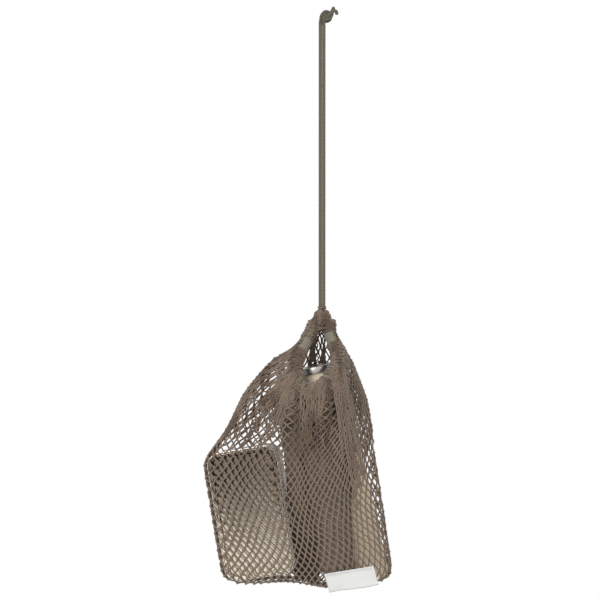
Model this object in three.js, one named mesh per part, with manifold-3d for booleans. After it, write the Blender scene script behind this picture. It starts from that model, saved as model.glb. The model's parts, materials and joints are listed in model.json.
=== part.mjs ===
// Hanging net bag with its load: a doubled drawcord, a gathered mouth band, a knotted net, a steel food tin,
// a vacuum bottle and a folded cloth. Millimetres, +Z up, the net's front faces -Y.
// The origin is the point of the cord loop that rests on a hook, so the bag hangs below it.
import * as THREE from "three";
import { ConvexGeometry } from "three/addons/geometries/ConvexGeometry.js";
import { mergeVertices } from "three/addons/utils/BufferGeometryUtils.js";
import Module from "manifold-3d";

const wasm = await Module();
wasm.setup();

// ---------------------------------------------------------------- driving dimensions
const GAP = 0.3; // between pieces that touch on the real bag

const CORD_RADIUS = 2.1;
const HANG_DROP = 345.6; // hook point to the middle of the neck gather
const NECK_RADIUS = 9.5;
const NECK_SLOT = 4.9; // radius that the two strands need where they reach the neck

const KNOT_RADIUS = 3.4; // the doubled cord inside the top knot
const KNOT_LIFT = 6.85; // lowest face of the knot above the hook point
const STRAND_TOP = 4.0; // centre of the strands' rounded tops above the hook point

const BAND_RADIUS = 7.5; // fabric tunnel round the mouth
const BAND_BORE = 2.65;
const GATHER_RADIUS = 10.4; // net bunched on the band
const LIP_SWING = 30; // degrees that the front lip folds out

const NET_WALL = 2.0;
const NET_GAP = 0.6; // between the load and the net

const BOTTLE_RADIUS = 33.5;
const BOTTLE_HEIGHT = 265;
const BOTTLE_LEAN = THREE.MathUtils.degToRad(12.5);
const BOTTLE_WALL = 0.8;
const LINER_WALL = 0.6;
const VACUUM_GAP = 2.4;
const CAP_RADIUS = 22;
const CAP_HEIGHT = 8;
const CAP_WALL = 1.6;

const TIN_WIDTH = 84;
const TIN_HEIGHT = 154;
const TIN_DEPTH = 54;
const TIN_CORNER = 16;
const TIN_LEAN = THREE.MathUtils.degToRad(9.5);
const TIN_YAW = THREE.MathUtils.degToRad(8);
const TIN_SHEET = 0.5;
const TIN_LID_DEPTH = 12;
const TIN_SEAL = 1.4;
const LID_BEAD = 6.5; // width of the raised edge round the lid's panel
const LID_RECESS = 2.2;

const CLOTH_HALF_DEPTH_TOP = 8;
const CLOTH_HALF_DEPTH_FOOT = 12;
const CLOTH_HALF_WIDTH_TOP = 27;
const CLOTH_HALF_WIDTH_FOOT = 17;
const CLOTH_CLEAR = 2.5; // between the cloth's tucked fold and the tin or the bottle beside it

const LABEL_WIDTH = 60;
const LABEL_HEIGHT = 24;
const LABEL_THICKNESS = 0.8;
const LABEL_SEAT = 0; // the net gives this much where the label is stitched
const LABEL_TILT = THREE.MathUtils.degToRad(5);
const SEAM_WIDTH = 3;
const SEAM_THICKNESS = 1.6;

const ROUND_SIDES = 32;
const BAND_SIDES = 12;
const CORD_SIDES = 8;

// ---------------------------------------------------------------- places worked out from them
const vec = (x, y, z) => new THREE.Vector3(x, y, z);
const NECK = vec(0, 0, -HANG_DROP);
const BOTTLE_DIRECTION = vec(-Math.sin(BOTTLE_LEAN), 0, Math.cos(BOTTLE_LEAN));
const BOTTLE_TOP = vec(-8.5, 7, NECK.z - 57.8);
const BOTTLE_FOOT = BOTTLE_TOP.clone().addScaledVector(BOTTLE_DIRECTION, -BOTTLE_HEIGHT);
const MOUTH_ROOM = 15.5; // free depth between the bottle's cap and the lip
const LIP_Y = BOTTLE_TOP.y - CAP_RADIUS - BAND_RADIUS - MOUTH_ROOM;
const TIN_CENTRE = vec(-82, 0, NECK.z - 232.5);

// Mouth loop, from the neck down both legs to the lip. y runs forward with the leg.
const legPoint = (x, forward, drop) => vec(x, THREE.MathUtils.lerp(4, LIP_Y, forward), NECK.z - drop);
const LIP_LEFT = legPoint(-32, 1, 74.4);
const LIP_RIGHT = legPoint(6, 1, 71.4);
const LEFT_LEG = new THREE.CatmullRomCurve3([
  legPoint(-BAND_RADIUS - GAP, 0, 4), legPoint(-10.8, 0.1, 14), legPoint(-19.2, 0.3, 28),
  legPoint(-27.5, 0.55, 43), legPoint(-32.5, 0.8, 58), LIP_LEFT,
]);
const RIGHT_LEG = new THREE.CatmullRomCurve3([
  legPoint(BAND_RADIUS + GAP, 0, 4), legPoint(8.4, 0.1, 14), legPoint(12.6, 0.28, 28),
  legPoint(18.4, 0.52, 42), legPoint(17.2, 0.8, 57), LIP_RIGHT,
]);
const LIP_SAG = 11;
const LIP = new THREE.CatmullRomCurve3([
  LIP_LEFT,
  LIP_LEFT.clone().lerp(LIP_RIGHT, 0.22).add(vec(0, -2.5, -0.7 * LIP_SAG)),
  LIP_LEFT.clone().lerp(LIP_RIGHT, 0.5).add(vec(0, -4, -LIP_SAG)),
  LIP_LEFT.clone().lerp(LIP_RIGHT, 0.78).add(vec(0, -2.5, -0.7 * LIP_SAG)),
  LIP_RIGHT,
]);

// ---------------------------------------------------------------- solids
function solid(geometry, matrix) {
  const g = geometry.index ? geometry.toNonIndexed() : geometry.clone();
  g.deleteAttribute("normal");
  g.deleteAttribute("uv");
  if (matrix) g.applyMatrix4(matrix);
  const merged = mergeVertices(g, 1e-4);
  return new wasm.Manifold(
    new wasm.Mesh({
      numProp: 3,
      vertProperties: new Float32Array(merged.attributes.position.array),
      triVerts: new Uint32Array(merged.index.array),
    }),
  );
}

function geometryOf(manifold) {
  const mesh = manifold.getMesh();
  const g = new THREE.BufferGeometry();
  g.setAttribute("position", new THREE.BufferAttribute(new Float32Array(mesh.vertProperties), 3));
  g.setIndex(new THREE.BufferAttribute(new Uint32Array(mesh.triVerts), 1));
  g.computeVertexNormals();
  return g;
}

const largest = (manifold) =>
  manifold.decompose().reduce((best, piece) => (piece.volume() > best.volume() ? piece : best));

class Stretch extends THREE.Curve {
  constructor(curve, from, to) {
    super();
    Object.assign(this, { curve, from, to });
  }
  getPoint(t, target = new THREE.Vector3()) {
    return target.copy(this.curve.getPointAt(THREE.MathUtils.lerp(this.from, this.to, t)));
  }
}

function ring(radius, sides, hole) {
  const shape = new THREE.Shape();
  const corner = (r, i) => [r * Math.cos((2 * Math.PI * i) / sides), r * Math.sin((2 * Math.PI * i) / sides)];
  const points = (r) => Array.from({ length: sides }, (_, i) => new THREE.Vector2(...corner(r, i)));
  shape.setFromPoints(points(radius));
  if (hole) shape.holes.push(new THREE.Path().setFromPoints(points(hole)));
  return shape;
}

const tube = (curve, radius, steps, sides, hole) =>
  new THREE.ExtrudeGeometry(ring(radius, sides, hole), { steps, extrudePath: curve });

const at = (point) => new THREE.Matrix4().makeTranslation(point.x, point.y, point.z);
const ball = (centre, radius) => solid(new THREE.SphereGeometry(radius, 14, 10), at(centre));

// A turned shape whose axis is the bottle's, measured from the bottle's foot.
const bottleFrame = new THREE.Matrix4()
  .makeTranslation(BOTTLE_FOOT.x, BOTTLE_FOOT.y, BOTTLE_FOOT.z)
  .multiply(new THREE.Matrix4().makeRotationY(-BOTTLE_LEAN))
  .multiply(new THREE.Matrix4().makeRotationX(Math.PI / 2));
const turned = (profile) =>
  new THREE.LatheGeometry(profile.map(([r, h]) => new THREE.Vector2(r, h)), ROUND_SIDES).applyMatrix4(bottleFrame);

const tinFrame = new THREE.Matrix4()
  .makeTranslation(TIN_CENTRE.x, TIN_CENTRE.y, TIN_CENTRE.z)
  .multiply(new THREE.Matrix4().makeRotationZ(-TIN_YAW))
  .multiply(new THREE.Matrix4().makeRotationY(-TIN_LEAN));

function roundedRectangle(width, height, radius) {
  const shape = new THREE.Shape();
  const w = width / 2 - radius;
  const h = height / 2 - radius;
  shape.absarc(w, h, radius, 0, Math.PI / 2);
  shape.absarc(-w, h, radius, Math.PI / 2, Math.PI);
  shape.absarc(-w, -h, radius, Math.PI, 1.5 * Math.PI);
  shape.absarc(w, -h, radius, 1.5 * Math.PI, 2 * Math.PI);
  return shape;
}

// A rounded-rectangle slab in the tin's frame, from depth y0 to y1.
function tinSlab(inset, y0, y1) {
  const shape = roundedRectangle(TIN_WIDTH - 2 * inset, TIN_HEIGHT - 2 * inset, TIN_CORNER - inset);
  const slab = new THREE.ExtrudeGeometry(shape, { depth: y1 - y0, bevelEnabled: false, curveSegments: 6 });
  slab.rotateX(Math.PI / 2).translate(0, y1, 0);
  return solid(slab, tinFrame);
}

// ---------------------------------------------------------------- cord
function strand(side) {
  const x = side * CORD_RADIUS;
  const lowest = NECK.z + Math.sqrt((NECK_RADIUS + GAP) ** 2 - NECK_SLOT ** 2) + 1.2;
  const run = new THREE.LineCurve3(vec(x, 0, lowest), vec(x, 0, STRAND_TOP));
  const end = ball(vec(x, 0, STRAND_TOP), CORD_RADIUS - 0.05);
  return geometryOf(solid(tube(run, CORD_RADIUS - 0.05, 32, CORD_SIDES)).add(end));
}

const KNOT_TOP = vec(5, -2, KNOT_LIFT + 12.3);
const TAIL_EXIT = vec(10.5, -1.5, KNOT_LIFT + 12);
const KNOT_HEART = vec(4.4, 0.4, KNOT_LIFT + 7.2);

function topKnot() {
  const rise = new THREE.CatmullRomCurve3([
    vec(0, 0, KNOT_LIFT), vec(0, -0.1, KNOT_LIFT + 3), vec(1, -1.6, KNOT_LIFT + 9), KNOT_TOP,
    vec(8.6, 0.8, KNOT_LIFT + 10), vec(8, 3.4, KNOT_LIFT + 6),
  ]);
  const turn = new THREE.CatmullRomCurve3([
    vec(8, 3.4, KNOT_LIFT + 6), vec(4.4, 4.6, KNOT_LIFT + 4.6), vec(1.4, 3, KNOT_LIFT + 7),
    vec(2.2, 0.5, KNOT_LIFT + 8), vec(6, -3.4, KNOT_LIFT + 4.2), TAIL_EXIT,
  ]);
  const parts = [rise, turn].map((path) => solid(tube(path, KNOT_RADIUS, 16, 10)));
  return geometryOf(largest(parts[0].add(parts[1]).add(ball(KNOT_HEART, 4.6))));
}

const TAIL_RADIUS = 2.1;
const TAIL_PATHS = {
  tail_upper: [vec(0.6, 0.8, 1.4), vec(2.4, 1.4, 4.6), vec(3.6, 1.6, 7.4)],
  tail_lower: [vec(1.6, -3.2, 0.2), vec(4.6, -3.8, 2.2), vec(6.6, -3.6, 0.8), vec(6.8, -3.4, -2.8)],
};
function tail(name, knot) {
  const path = new THREE.CatmullRomCurve3(TAIL_PATHS[name].map((p) => p.clone().add(TAIL_EXIT)));
  const clear = solid(tube(new THREE.LineCurve3(TAIL_EXIT.clone().add(vec(-4, 0, -6)),
    TAIL_EXIT.clone().add(vec(0.5, 0, 0.6))), KNOT_RADIUS + 0.2, 2, 10));
  return geometryOf(largest(solid(tube(path, TAIL_RADIUS, 10, CORD_SIDES)).subtract(clear).subtract(knot)));
}

// ---------------------------------------------------------------- neck and mouth band
function neckGather() {
  return geometryOf(ball(NECK, NECK_RADIUS));
}

function neckWrap() {
  const low = NECK_RADIUS + 0.35;
  const inner = 2 * CORD_RADIUS + 0.35;
  const profile = [[inner, low], [inner + 2.2, low], [inner + 2.6, low + 1.6], [inner + 2.2, low + 3.2],
    [inner + 0.4, low + 3.6], [inner, low + 3.2], [inner, low]];
  const turnedWrap = new THREE.LatheGeometry(profile.map(([r, h]) => new THREE.Vector2(r, h)), 20);
  return turnedWrap.rotateX(Math.PI / 2).translate(NECK.x, NECK.y, NECK.z);
}

const neckRoom = ball(NECK, NECK_RADIUS + GAP + 0.15);
const lipEnds = [LIP_LEFT, LIP_RIGHT].map((p) => ball(p, BAND_RADIUS + GAP + 0.15));

function legBand(curve, end) {
  const fabric = solid(tube(curve, BAND_RADIUS, 12, BAND_SIDES, BAND_BORE));
  return geometryOf(largest(fabric.subtract(neckRoom).subtract(end).subtract(lipSweep(BAND_RADIUS + GAP + 0.15))));
}

function lipBand() {
  const bore = solid(tube(LIP, BAND_BORE, 10, BAND_SIDES));
  const fabric = solid(tube(LIP, BAND_RADIUS, 10, BAND_SIDES));
  const mouths = [[LIP_LEFT, 0], [LIP_RIGHT, 1]].map(([p, t]) => {
    const out = LIP.getTangent(t).multiplyScalar(t ? 1 : -1);
    const start = p.clone().addScaledVector(out, -1);
    return solid(tube(new THREE.LineCurve3(start, p.clone().addScaledVector(out, BAND_RADIUS + 1)), BAND_BORE, 1, BAND_SIDES));
  });
  const domed = fabric.add(ball(LIP_LEFT, BAND_RADIUS)).add(ball(LIP_RIGHT, BAND_RADIUS));
  return geometryOf(domed.subtract(bore).subtract(mouths[0]).subtract(mouths[1]));
}

const drawcord = (curve, from, to) => tube(new Stretch(curve, from, to), CORD_RADIUS, 14, CORD_SIDES);
const legCord = (curve) => drawcord(curve, 0.14, 1 - (BAND_RADIUS + 2.4) / curve.getLength());

// Net bunched round the band between two places along a curve.
function gather(curve, from, to) {
  const hole = (BAND_RADIUS + GAP + 0.15) / Math.cos(Math.PI / BAND_SIDES);
  return solid(tube(new Stretch(curve, from, to), GATHER_RADIUS, 4, BAND_SIDES, hole));
}
const LEG_GATHERS = {
  gather_left_upper: [LEFT_LEG, 0.2, 0.34],
  gather_left_middle: [LEFT_LEG, 0.58, 0.7],
  gather_left_lower: [LEFT_LEG, 0.76, 0.84],
  gather_right_upper: [RIGHT_LEG, 0.2, 0.3],
  gather_right_middle: [RIGHT_LEG, 0.46, 0.58],
  gather_right_lower: [RIGHT_LEG, 0.7, 0.8],
};
const LIP_GATHERS = {
  gather_lip_left: [LIP, 0.2, 0.34],
  gather_lip_middle: [LIP, 0.43, 0.57],
  gather_lip_right: [LIP, 0.66, 0.8],
};

// ---------------------------------------------------------------- load
const SHOULDER = BOTTLE_HEIGHT - CAP_HEIGHT - 38;
const NECK_TOP = BOTTLE_HEIGHT - CAP_HEIGHT - 1;
const THREAD_RADIUS = CAP_RADIUS - CAP_WALL - 0.6;
const BOTTLE_OUTLINE = [
  [BOTTLE_RADIUS - 4, 0], [BOTTLE_RADIUS, 4], [BOTTLE_RADIUS, SHOULDER],
  [BOTTLE_RADIUS - 3.2, SHOULDER + 17], [CAP_RADIUS + 1.5, NECK_TOP - 3],
];

function bottleBody() {
  const t = BOTTLE_WALL;
  const inside = BOTTLE_OUTLINE.map(([r, h], i) => [r - t, i ? h : h + t]).reverse();
  return turned([[0, 0], ...BOTTLE_OUTLINE, [CAP_RADIUS, NECK_TOP], [CAP_RADIUS - t, NECK_TOP],
    ...inside, [0, t]]);
}

function bottleLiner() {
  const gap = BOTTLE_WALL + VACUUM_GAP;
  const t = LINER_WALL;
  const lip = NECK_TOP + CAP_HEIGHT * 0.55;
  const outer = [[BOTTLE_RADIUS - gap - 3, gap], [BOTTLE_RADIUS - gap, gap + 4], [BOTTLE_RADIUS - gap, SHOULDER],
    [BOTTLE_RADIUS - gap - 4, SHOULDER + 15], [THREAD_RADIUS, NECK_TOP - 5], [THREAD_RADIUS, lip]];
  const inner = outer.map(([r, h], i) => [r - t, i ? h : h + t]).reverse();
  return turned([[0, gap], ...outer, ...inner, [0, gap + t]]);
}

function bottleCap() {
  const low = NECK_TOP + GAP + 0.1;
  const high = BOTTLE_HEIGHT;
  return turned([[0, high - CAP_WALL], [CAP_RADIUS - CAP_WALL, high - CAP_WALL], [CAP_RADIUS - CAP_WALL, low],
    [CAP_RADIUS, low], [CAP_RADIUS, high - 2], [CAP_RADIUS - 1.4, high - 0.4], [CAP_RADIUS - 4, high],
    [0, high]]);
}

function capSeal() {
  const high = BOTTLE_HEIGHT - CAP_WALL - 0.3;
  const outer = CAP_RADIUS - CAP_WALL - 0.4;
  return turned([[outer - 5, high - 2], [outer, high - 2], [outer, high], [outer - 5, high], [outer - 5, high - 2]]);
}

function tinPieces() {
  const front = -TIN_DEPTH / 2;
  const back = TIN_DEPTH / 2;
  const slip = TIN_SHEET + GAP;
  const rim = front + TIN_SHEET + TIN_SEAL + 2 * GAP;
  const base = tinSlab(slip, rim, back).subtract(tinSlab(slip + TIN_SHEET, rim - 1, back - TIN_SHEET));
  const lid = tinSlab(0, front, front + TIN_LID_DEPTH)
    .subtract(tinSlab(TIN_SHEET, front + TIN_SHEET, front + TIN_LID_DEPTH + 1))
    .add(tinSlab(LID_BEAD, front, front + LID_RECESS + TIN_SHEET))
    .subtract(tinSlab(LID_BEAD + TIN_SHEET, front - 1, front + LID_RECESS));
  const sealFront = front + TIN_SHEET + GAP;
  const seal = tinSlab(slip, sealFront, sealFront + TIN_SEAL)
    .subtract(tinSlab(slip + 3, sealFront - 1, sealFront + TIN_SEAL + 1));
  return { tin_base: geometryOf(base), tin_lid: geometryOf(lid), tin_seal: geometryOf(seal) };
}

// The folded cloth leans with the bottle, just in front of it. share runs from its foot (0) to its top (1).
const CLOTH_STATIONS = [0, 0.03, 0.1, 0.35, 0.65, 0.9, 0.97, 1];
function clothSection(share, grow) {
  const along = THREE.MathUtils.lerp(2, SHOULDER + 2, share);
  const axis = BOTTLE_FOOT.clone().addScaledVector(BOTTLE_DIRECTION, along);
  const round = Math.sqrt(Math.max(0.16, 1 - (2 * Math.max(0, Math.abs(share - 0.5) - 0.4) / 0.2) ** 2 * 0.84));
  const halfWidth = THREE.MathUtils.lerp(CLOTH_HALF_WIDTH_FOOT, CLOTH_HALF_WIDTH_TOP, share) * round;
  const halfDepth = THREE.MathUtils.lerp(CLOTH_HALF_DEPTH_FOOT, CLOTH_HALF_DEPTH_TOP, share) * round;
  const across = THREE.MathUtils.lerp(-30, -12, share);
  const y = axis.y - BOTTLE_RADIUS - halfDepth - 1;
  return Array.from({ length: 16 }, (_, i) => {
    const a = (Math.PI * i) / 8;
    return vec(axis.x + across + (halfWidth + grow) * Math.cos(a), y + (halfDepth + grow) * Math.sin(a), axis.z);
  });
}

// The rest of the cloth is tucked between the tin and the bottle, and joins the front fold higher up.
const TUCK_STATIONS = [0, 0.04, 0.12, 0.4, 0.55, 0.75, 0.9, 1];
function tuckSection(share) {
  const z = THREE.MathUtils.lerp(BOTTLE_FOOT.z + 12, BOTTLE_FOOT.z + SHOULDER - 6, share);
  const local = (z - TIN_CENTRE.z) / Math.cos(TIN_LEAN);
  const sides = [-1, 1].map((y) => vec(TIN_WIDTH / 2, (y * TIN_DEPTH) / 2, local).applyMatrix4(tinFrame).x);
  const bottle = BOTTLE_FOOT.x - (z - BOTTLE_FOOT.z) * Math.tan(BOTTLE_LEAN) - BOTTLE_RADIUS / Math.cos(BOTTLE_LEAN);
  const left = Math.max(...sides) + CLOTH_CLEAR;
  const right = bottle - CLOTH_CLEAR;
  const round = [0, 1].includes(share) ? 0.72 : 1;
  const halfWidth = ((right - left) / 2) * round;
  const front = THREE.MathUtils.lerp(-6, -22, share);
  const halfDepth = ((14 - front) / 2) * round;
  return Array.from({ length: 16 }, (_, i) => {
    const a = (Math.PI * (i + 0.5)) / 8;
    return vec((left + right) / 2 + halfWidth * Math.cos(a), (14 + front) / 2 + halfDepth * Math.sin(a), z);
  });
}
function clothPad() {
  const fold = solid(new ConvexGeometry(CLOTH_STATIONS.flatMap((share) => clothSection(share, 0))));
  const tuck = solid(new ConvexGeometry(TUCK_STATIONS.flatMap(tuckSection)));
  const bridge = solid(new ConvexGeometry([0.55, 0.9].flatMap((share) => {
    const inner = clothSection(share, -2);
    return [...tuckSection(share), ...inner.filter((p) => p.x < BOTTLE_TOP.x - 16)];
  })));
  return geometryOf(largest(fold.add(tuck).add(bridge)));
}

// ---------------------------------------------------------------- net
const circle = (radius, height, grow, count = 24) =>
  Array.from({ length: count }, (_, i) => {
    const a = (2 * Math.PI * i) / count;
    const r = (radius + grow) / Math.cos(Math.PI / count);
    return vec(r * Math.cos(a), height, r * Math.sin(a)).applyMatrix4(bottleFrame);
  });

function tinCorners(grow) {
  const points = [];
  const w = TIN_WIDTH / 2 - TIN_CORNER;
  const h = TIN_HEIGHT / 2 - TIN_CORNER;
  for (const [cx, cz] of [[w, h], [-w, h], [-w, -h], [w, -h]])
    for (let i = 0; i < 16; i++)
      for (const y of [-1, 1]) {
        const a = (2 * Math.PI * i) / 16;
        const r = (TIN_CORNER + grow) / Math.cos(Math.PI / 16);
        points.push(vec(cx + r * Math.cos(a), y * (TIN_DEPTH / 2 + grow), cz + r * Math.sin(a)).applyMatrix4(tinFrame));
      }
  return points;
}

// Eight points round a centre, as far out as grow.
const burst = (p, grow) =>
  [-1, 1].flatMap((x) => [-1, 1].flatMap((y) => [-1, 1].map((z) => p.clone().add(vec(x, y, z).setLength(grow)))));

// Where the knotted mesh stands off the load by its own stiffness.
const FULLNESS = [
  vec(45, 2, NECK.z - 98), vec(54, 4, NECK.z - 135), vec(61, 5, NECK.z - 170), vec(67, 6, NECK.z - 206),
  vec(-86, 4, NECK.z - 100), vec(-108, 3, NECK.z - 134),
];

// The drawn-up net is as tight as a skin round the load and the mouth band.
function netSkin(grow) {
  const band = [];
  for (let i = 0; i <= 8; i++)
    for (const curve of [LEFT_LEG, RIGHT_LEG]) band.push(...burst(curve.getPointAt(i / 8), grow));
  for (let i = 0; i <= 4; i++) band.push(...burst(LIP.getPointAt(i / 4), grow));
  const [foot, ...body] = BOTTLE_OUTLINE;
  return solid(new ConvexGeometry([
    ...band,
    ...tinCorners(grow),
    ...circle(foot[0], 0, 0).map((p) => p.addScaledVector(BOTTLE_DIRECTION, -grow)),
    ...body.flatMap(([r, h]) => circle(r, h, grow)),
    ...circle(CAP_RADIUS, BOTTLE_HEIGHT, grow),
    ...FULLNESS.flatMap((p) => burst(p, grow)),
    ...CLOTH_STATIONS.flatMap((share) => clothSection(share, grow)),
  ]));
}

function mouthPlug() {
  const loop = [LEFT_LEG, LIP, RIGHT_LEG].flatMap((curve, i) => {
    const points = curve.getSpacedPoints(12);
    return i === 2 ? points.reverse() : points;
  });
  const top = NECK.clone();
  const normal = LIP_LEFT.clone().sub(top).cross(LIP_RIGHT.clone().sub(top)).normalize();
  if (normal.y > 0) normal.negate();
  const right = vec(0, 0, 1).cross(normal).normalize();
  const up = normal.clone().cross(right);
  const outline = loop.map((p) => {
    const d = p.clone().sub(top);
    return new THREE.Vector2(d.dot(right), d.dot(up));
  });
  const plug = new THREE.ExtrudeGeometry(new THREE.Shape(outline), { depth: 26, bevelEnabled: false });
  const frame = new THREE.Matrix4().makeBasis(right, up, normal).setPosition(top.addScaledVector(normal, -7));
  return solid(plug, frame);
}

// Room for the lip, so thick, as it folds out about the line between its ends.
function lipSweep(radius) {
  const axis = LIP_RIGHT.clone().sub(LIP_LEFT).normalize();
  let sweep = null;
  for (let i = 0; i <= 5; i++) {
    const turn = new THREE.Matrix4()
      .makeTranslation(LIP_LEFT.x, LIP_LEFT.y, LIP_LEFT.z)
      .multiply(new THREE.Matrix4().makeRotationAxis(axis, -THREE.MathUtils.degToRad(LIP_SWING) * (i / 5)))
      .multiply(new THREE.Matrix4().makeTranslation(-LIP_LEFT.x, -LIP_LEFT.y, -LIP_LEFT.z));
    const room = solid(tube(LIP, radius, 10, BAND_SIDES), turn);
    sweep = sweep ? sweep.add(room) : room;
  }
  return sweep;
}

function netBag(skin, core) {
  const bandRoom = (curve, radius) => solid(tube(curve, radius, 18, BAND_SIDES));
  let net = skin.subtract(core).subtract(mouthPlug()).subtract(neckRoom).subtract(lipSweep(GATHER_RADIUS + 0.9));
  for (const curve of [LEFT_LEG, RIGHT_LEG]) net = net.subtract(bandRoom(curve, BAND_RADIUS + GAP + 0.3));
  for (const end of lipEnds) net = net.subtract(end);
  for (const [curve, from, to] of Object.values(LEG_GATHERS)) {
    const room = new Stretch(curve, from - 0.015, to + 0.015);
    net = net.subtract(solid(tube(room, GATHER_RADIUS + GAP + 0.3, 5, BAND_SIDES)));
  }
  const clearOfNeck = NECK_RADIUS + 5;
  return largest(net.subtract(ball(NECK, clearOfNeck)));
}

// A thin layer that lies on the net, inside the block given.
function onNet(thickness, block) {
  const under = NET_GAP + NET_WALL + GAP;
  return largest(netSkin(under + thickness).subtract(netSkin(under)).intersect(block));
}

// The label is flat on the plane that touches the net where the label faces.
function labelPatch() {
  const facing = vec(0.22, -1, -0.2).normalize();
  const points = netSkin(NET_GAP + NET_WALL).getMesh().vertProperties;
  let reach = -Infinity;
  for (let i = 0; i < points.length; i += 3)
    reach = Math.max(reach, facing.dot(vec(points[i], points[i + 1], points[i + 2])));
  const along = vec(Math.cos(LABEL_TILT), 0, Math.sin(LABEL_TILT)).projectOnPlane(facing).normalize();
  const down = along.clone().cross(facing);
  const centre = vec(BOTTLE_FOOT.x - 14, BOTTLE_FOOT.y - 52, BOTTLE_FOOT.z + 11);
  centre.addScaledVector(facing, reach - LABEL_SEAT + LABEL_THICKNESS / 2 - facing.dot(centre));
  const frame = new THREE.Matrix4().makeBasis(along, facing, down).setPosition(centre);
  return new THREE.BoxGeometry(LABEL_WIDTH, LABEL_THICKNESS, LABEL_HEIGHT, 8, 1, 2).applyMatrix4(frame);
}

function bottomSeam() {
  const low = BOTTLE_FOOT.z + 18;
  const block = new THREE.BoxGeometry(400, SEAM_WIDTH, 60);
  const plane = BOTTLE_FOOT.y + 4;
  return onNet(SEAM_THICKNESS, solid(block, at(vec(0, plane, low - 30))));
}

// ---------------------------------------------------------------- materials and assembly
const cloth = (color) => new THREE.MeshStandardMaterial({ color, roughness: 0.92, metalness: 0 });
const MATERIALS = {
  cord: cloth(0x75705f),
  band: cloth(0x817b6b),
  net: cloth(0x786c5e),
  label: cloth(0xf0f0ee),
  towel: cloth(0x7c6b5c),
  steel: new THREE.MeshStandardMaterial({ color: 0xb9b7b4, roughness: 0.25, metalness: 1 }),
  cream: new THREE.MeshStandardMaterial({ color: 0xc8b99d, roughness: 0.6, metalness: 0 }),
  seal: new THREE.MeshStandardMaterial({ color: 0xdad7d0, roughness: 0.7, metalness: 0 }),
};

const bag = new THREE.Group();
function addPiece(name, material, geometry) {
  const mesh = new THREE.Mesh(geometry, MATERIALS[material]);
  mesh.name = name;
  bag.add(mesh);
}

const knot = topKnot();
addPiece("top_knot", "cord", knot);
for (const name of Object.keys(TAIL_PATHS)) addPiece(name, "cord", tail(name, solid(knot)));
addPiece("strand_left", "cord", strand(-1));
addPiece("strand_right", "cord", strand(1));
addPiece("neck_gather", "net", neckGather());
addPiece("neck_wrap", "net", neckWrap());
addPiece("mouth_band_left", "band", legBand(LEFT_LEG, lipEnds[0]));
addPiece("mouth_band_right", "band", legBand(RIGHT_LEG, lipEnds[1]));
addPiece("mouth_band_lip", "band", lipBand());
addPiece("drawcord_left", "cord", legCord(LEFT_LEG));
addPiece("drawcord_right", "cord", legCord(RIGHT_LEG));
addPiece("drawcord_lip", "cord", drawcord(LIP, 0.02, 0.98));
for (const [name, place] of Object.entries({ ...LEG_GATHERS, ...LIP_GATHERS }))
  addPiece(name, "net", geometryOf(gather(...place)));
addPiece("bottle_body", "cream", bottleBody());
addPiece("bottle_liner", "steel", bottleLiner());
addPiece("bottle_cap", "steel", bottleCap());
addPiece("cap_seal", "seal", capSeal());
const tin = tinPieces();
for (const name of Object.keys(tin)) addPiece(name, name === "tin_seal" ? "seal" : "steel", tin[name]);
addPiece("folded_cloth", "towel", clothPad());
addPiece("net_bag", "net", geometryOf(netBag(netSkin(NET_GAP + NET_WALL), netSkin(NET_GAP))));
addPiece("label", "label", labelPatch());
addPiece("bottom_seam", "net", geometryOf(bottomSeam()));

export default bag;
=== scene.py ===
"""A hanging string bag, packed with a food tin, a vacuum bottle and a folded cloth."""

import json
import math
import random

import bmesh
import bpy
import numpy as np
from mathutils import Matrix, Vector, noise
from mathutils.bvhtree import BVHTree


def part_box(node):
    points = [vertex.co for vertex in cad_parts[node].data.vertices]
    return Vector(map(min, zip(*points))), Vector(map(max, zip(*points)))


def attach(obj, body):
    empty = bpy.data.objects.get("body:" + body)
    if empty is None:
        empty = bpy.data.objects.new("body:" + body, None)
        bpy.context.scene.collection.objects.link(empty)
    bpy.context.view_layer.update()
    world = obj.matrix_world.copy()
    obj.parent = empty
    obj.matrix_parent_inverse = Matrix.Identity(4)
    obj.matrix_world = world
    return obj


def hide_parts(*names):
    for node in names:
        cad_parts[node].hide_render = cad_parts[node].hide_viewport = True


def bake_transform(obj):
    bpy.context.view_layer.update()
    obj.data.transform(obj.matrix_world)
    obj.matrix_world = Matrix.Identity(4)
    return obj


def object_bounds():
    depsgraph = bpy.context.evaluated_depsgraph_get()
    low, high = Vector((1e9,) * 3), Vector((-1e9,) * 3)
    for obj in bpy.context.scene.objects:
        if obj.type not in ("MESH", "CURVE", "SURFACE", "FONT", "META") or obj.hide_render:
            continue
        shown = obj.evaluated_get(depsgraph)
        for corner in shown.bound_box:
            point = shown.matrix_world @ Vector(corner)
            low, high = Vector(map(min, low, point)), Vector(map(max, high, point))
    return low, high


bl_info = {
    "name": "Hanging String Bag",
    "version": (1, 0, 0),
    "blender": (4, 5, 0),
    "location": "3D View > Sidebar > String Bag",
    "description": "Builds a packed string bag on its doubled cord",
    "category": "Add Mesh",
}

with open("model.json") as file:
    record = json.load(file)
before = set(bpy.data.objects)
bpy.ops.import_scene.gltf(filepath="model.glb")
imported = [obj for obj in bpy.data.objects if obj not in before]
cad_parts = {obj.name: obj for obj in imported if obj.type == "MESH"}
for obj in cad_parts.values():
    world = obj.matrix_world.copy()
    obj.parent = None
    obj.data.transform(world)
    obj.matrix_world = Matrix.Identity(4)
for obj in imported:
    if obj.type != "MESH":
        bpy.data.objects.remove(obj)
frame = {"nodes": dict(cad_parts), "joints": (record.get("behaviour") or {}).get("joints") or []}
CAD_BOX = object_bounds()
JOINTS = {joint["name"]: joint for joint in frame["joints"]}
MM = 0.001
NOISE_SEED = 7  # without a seed the noise vectors start from the clock
noise.seed_set(NOISE_SEED)


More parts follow.
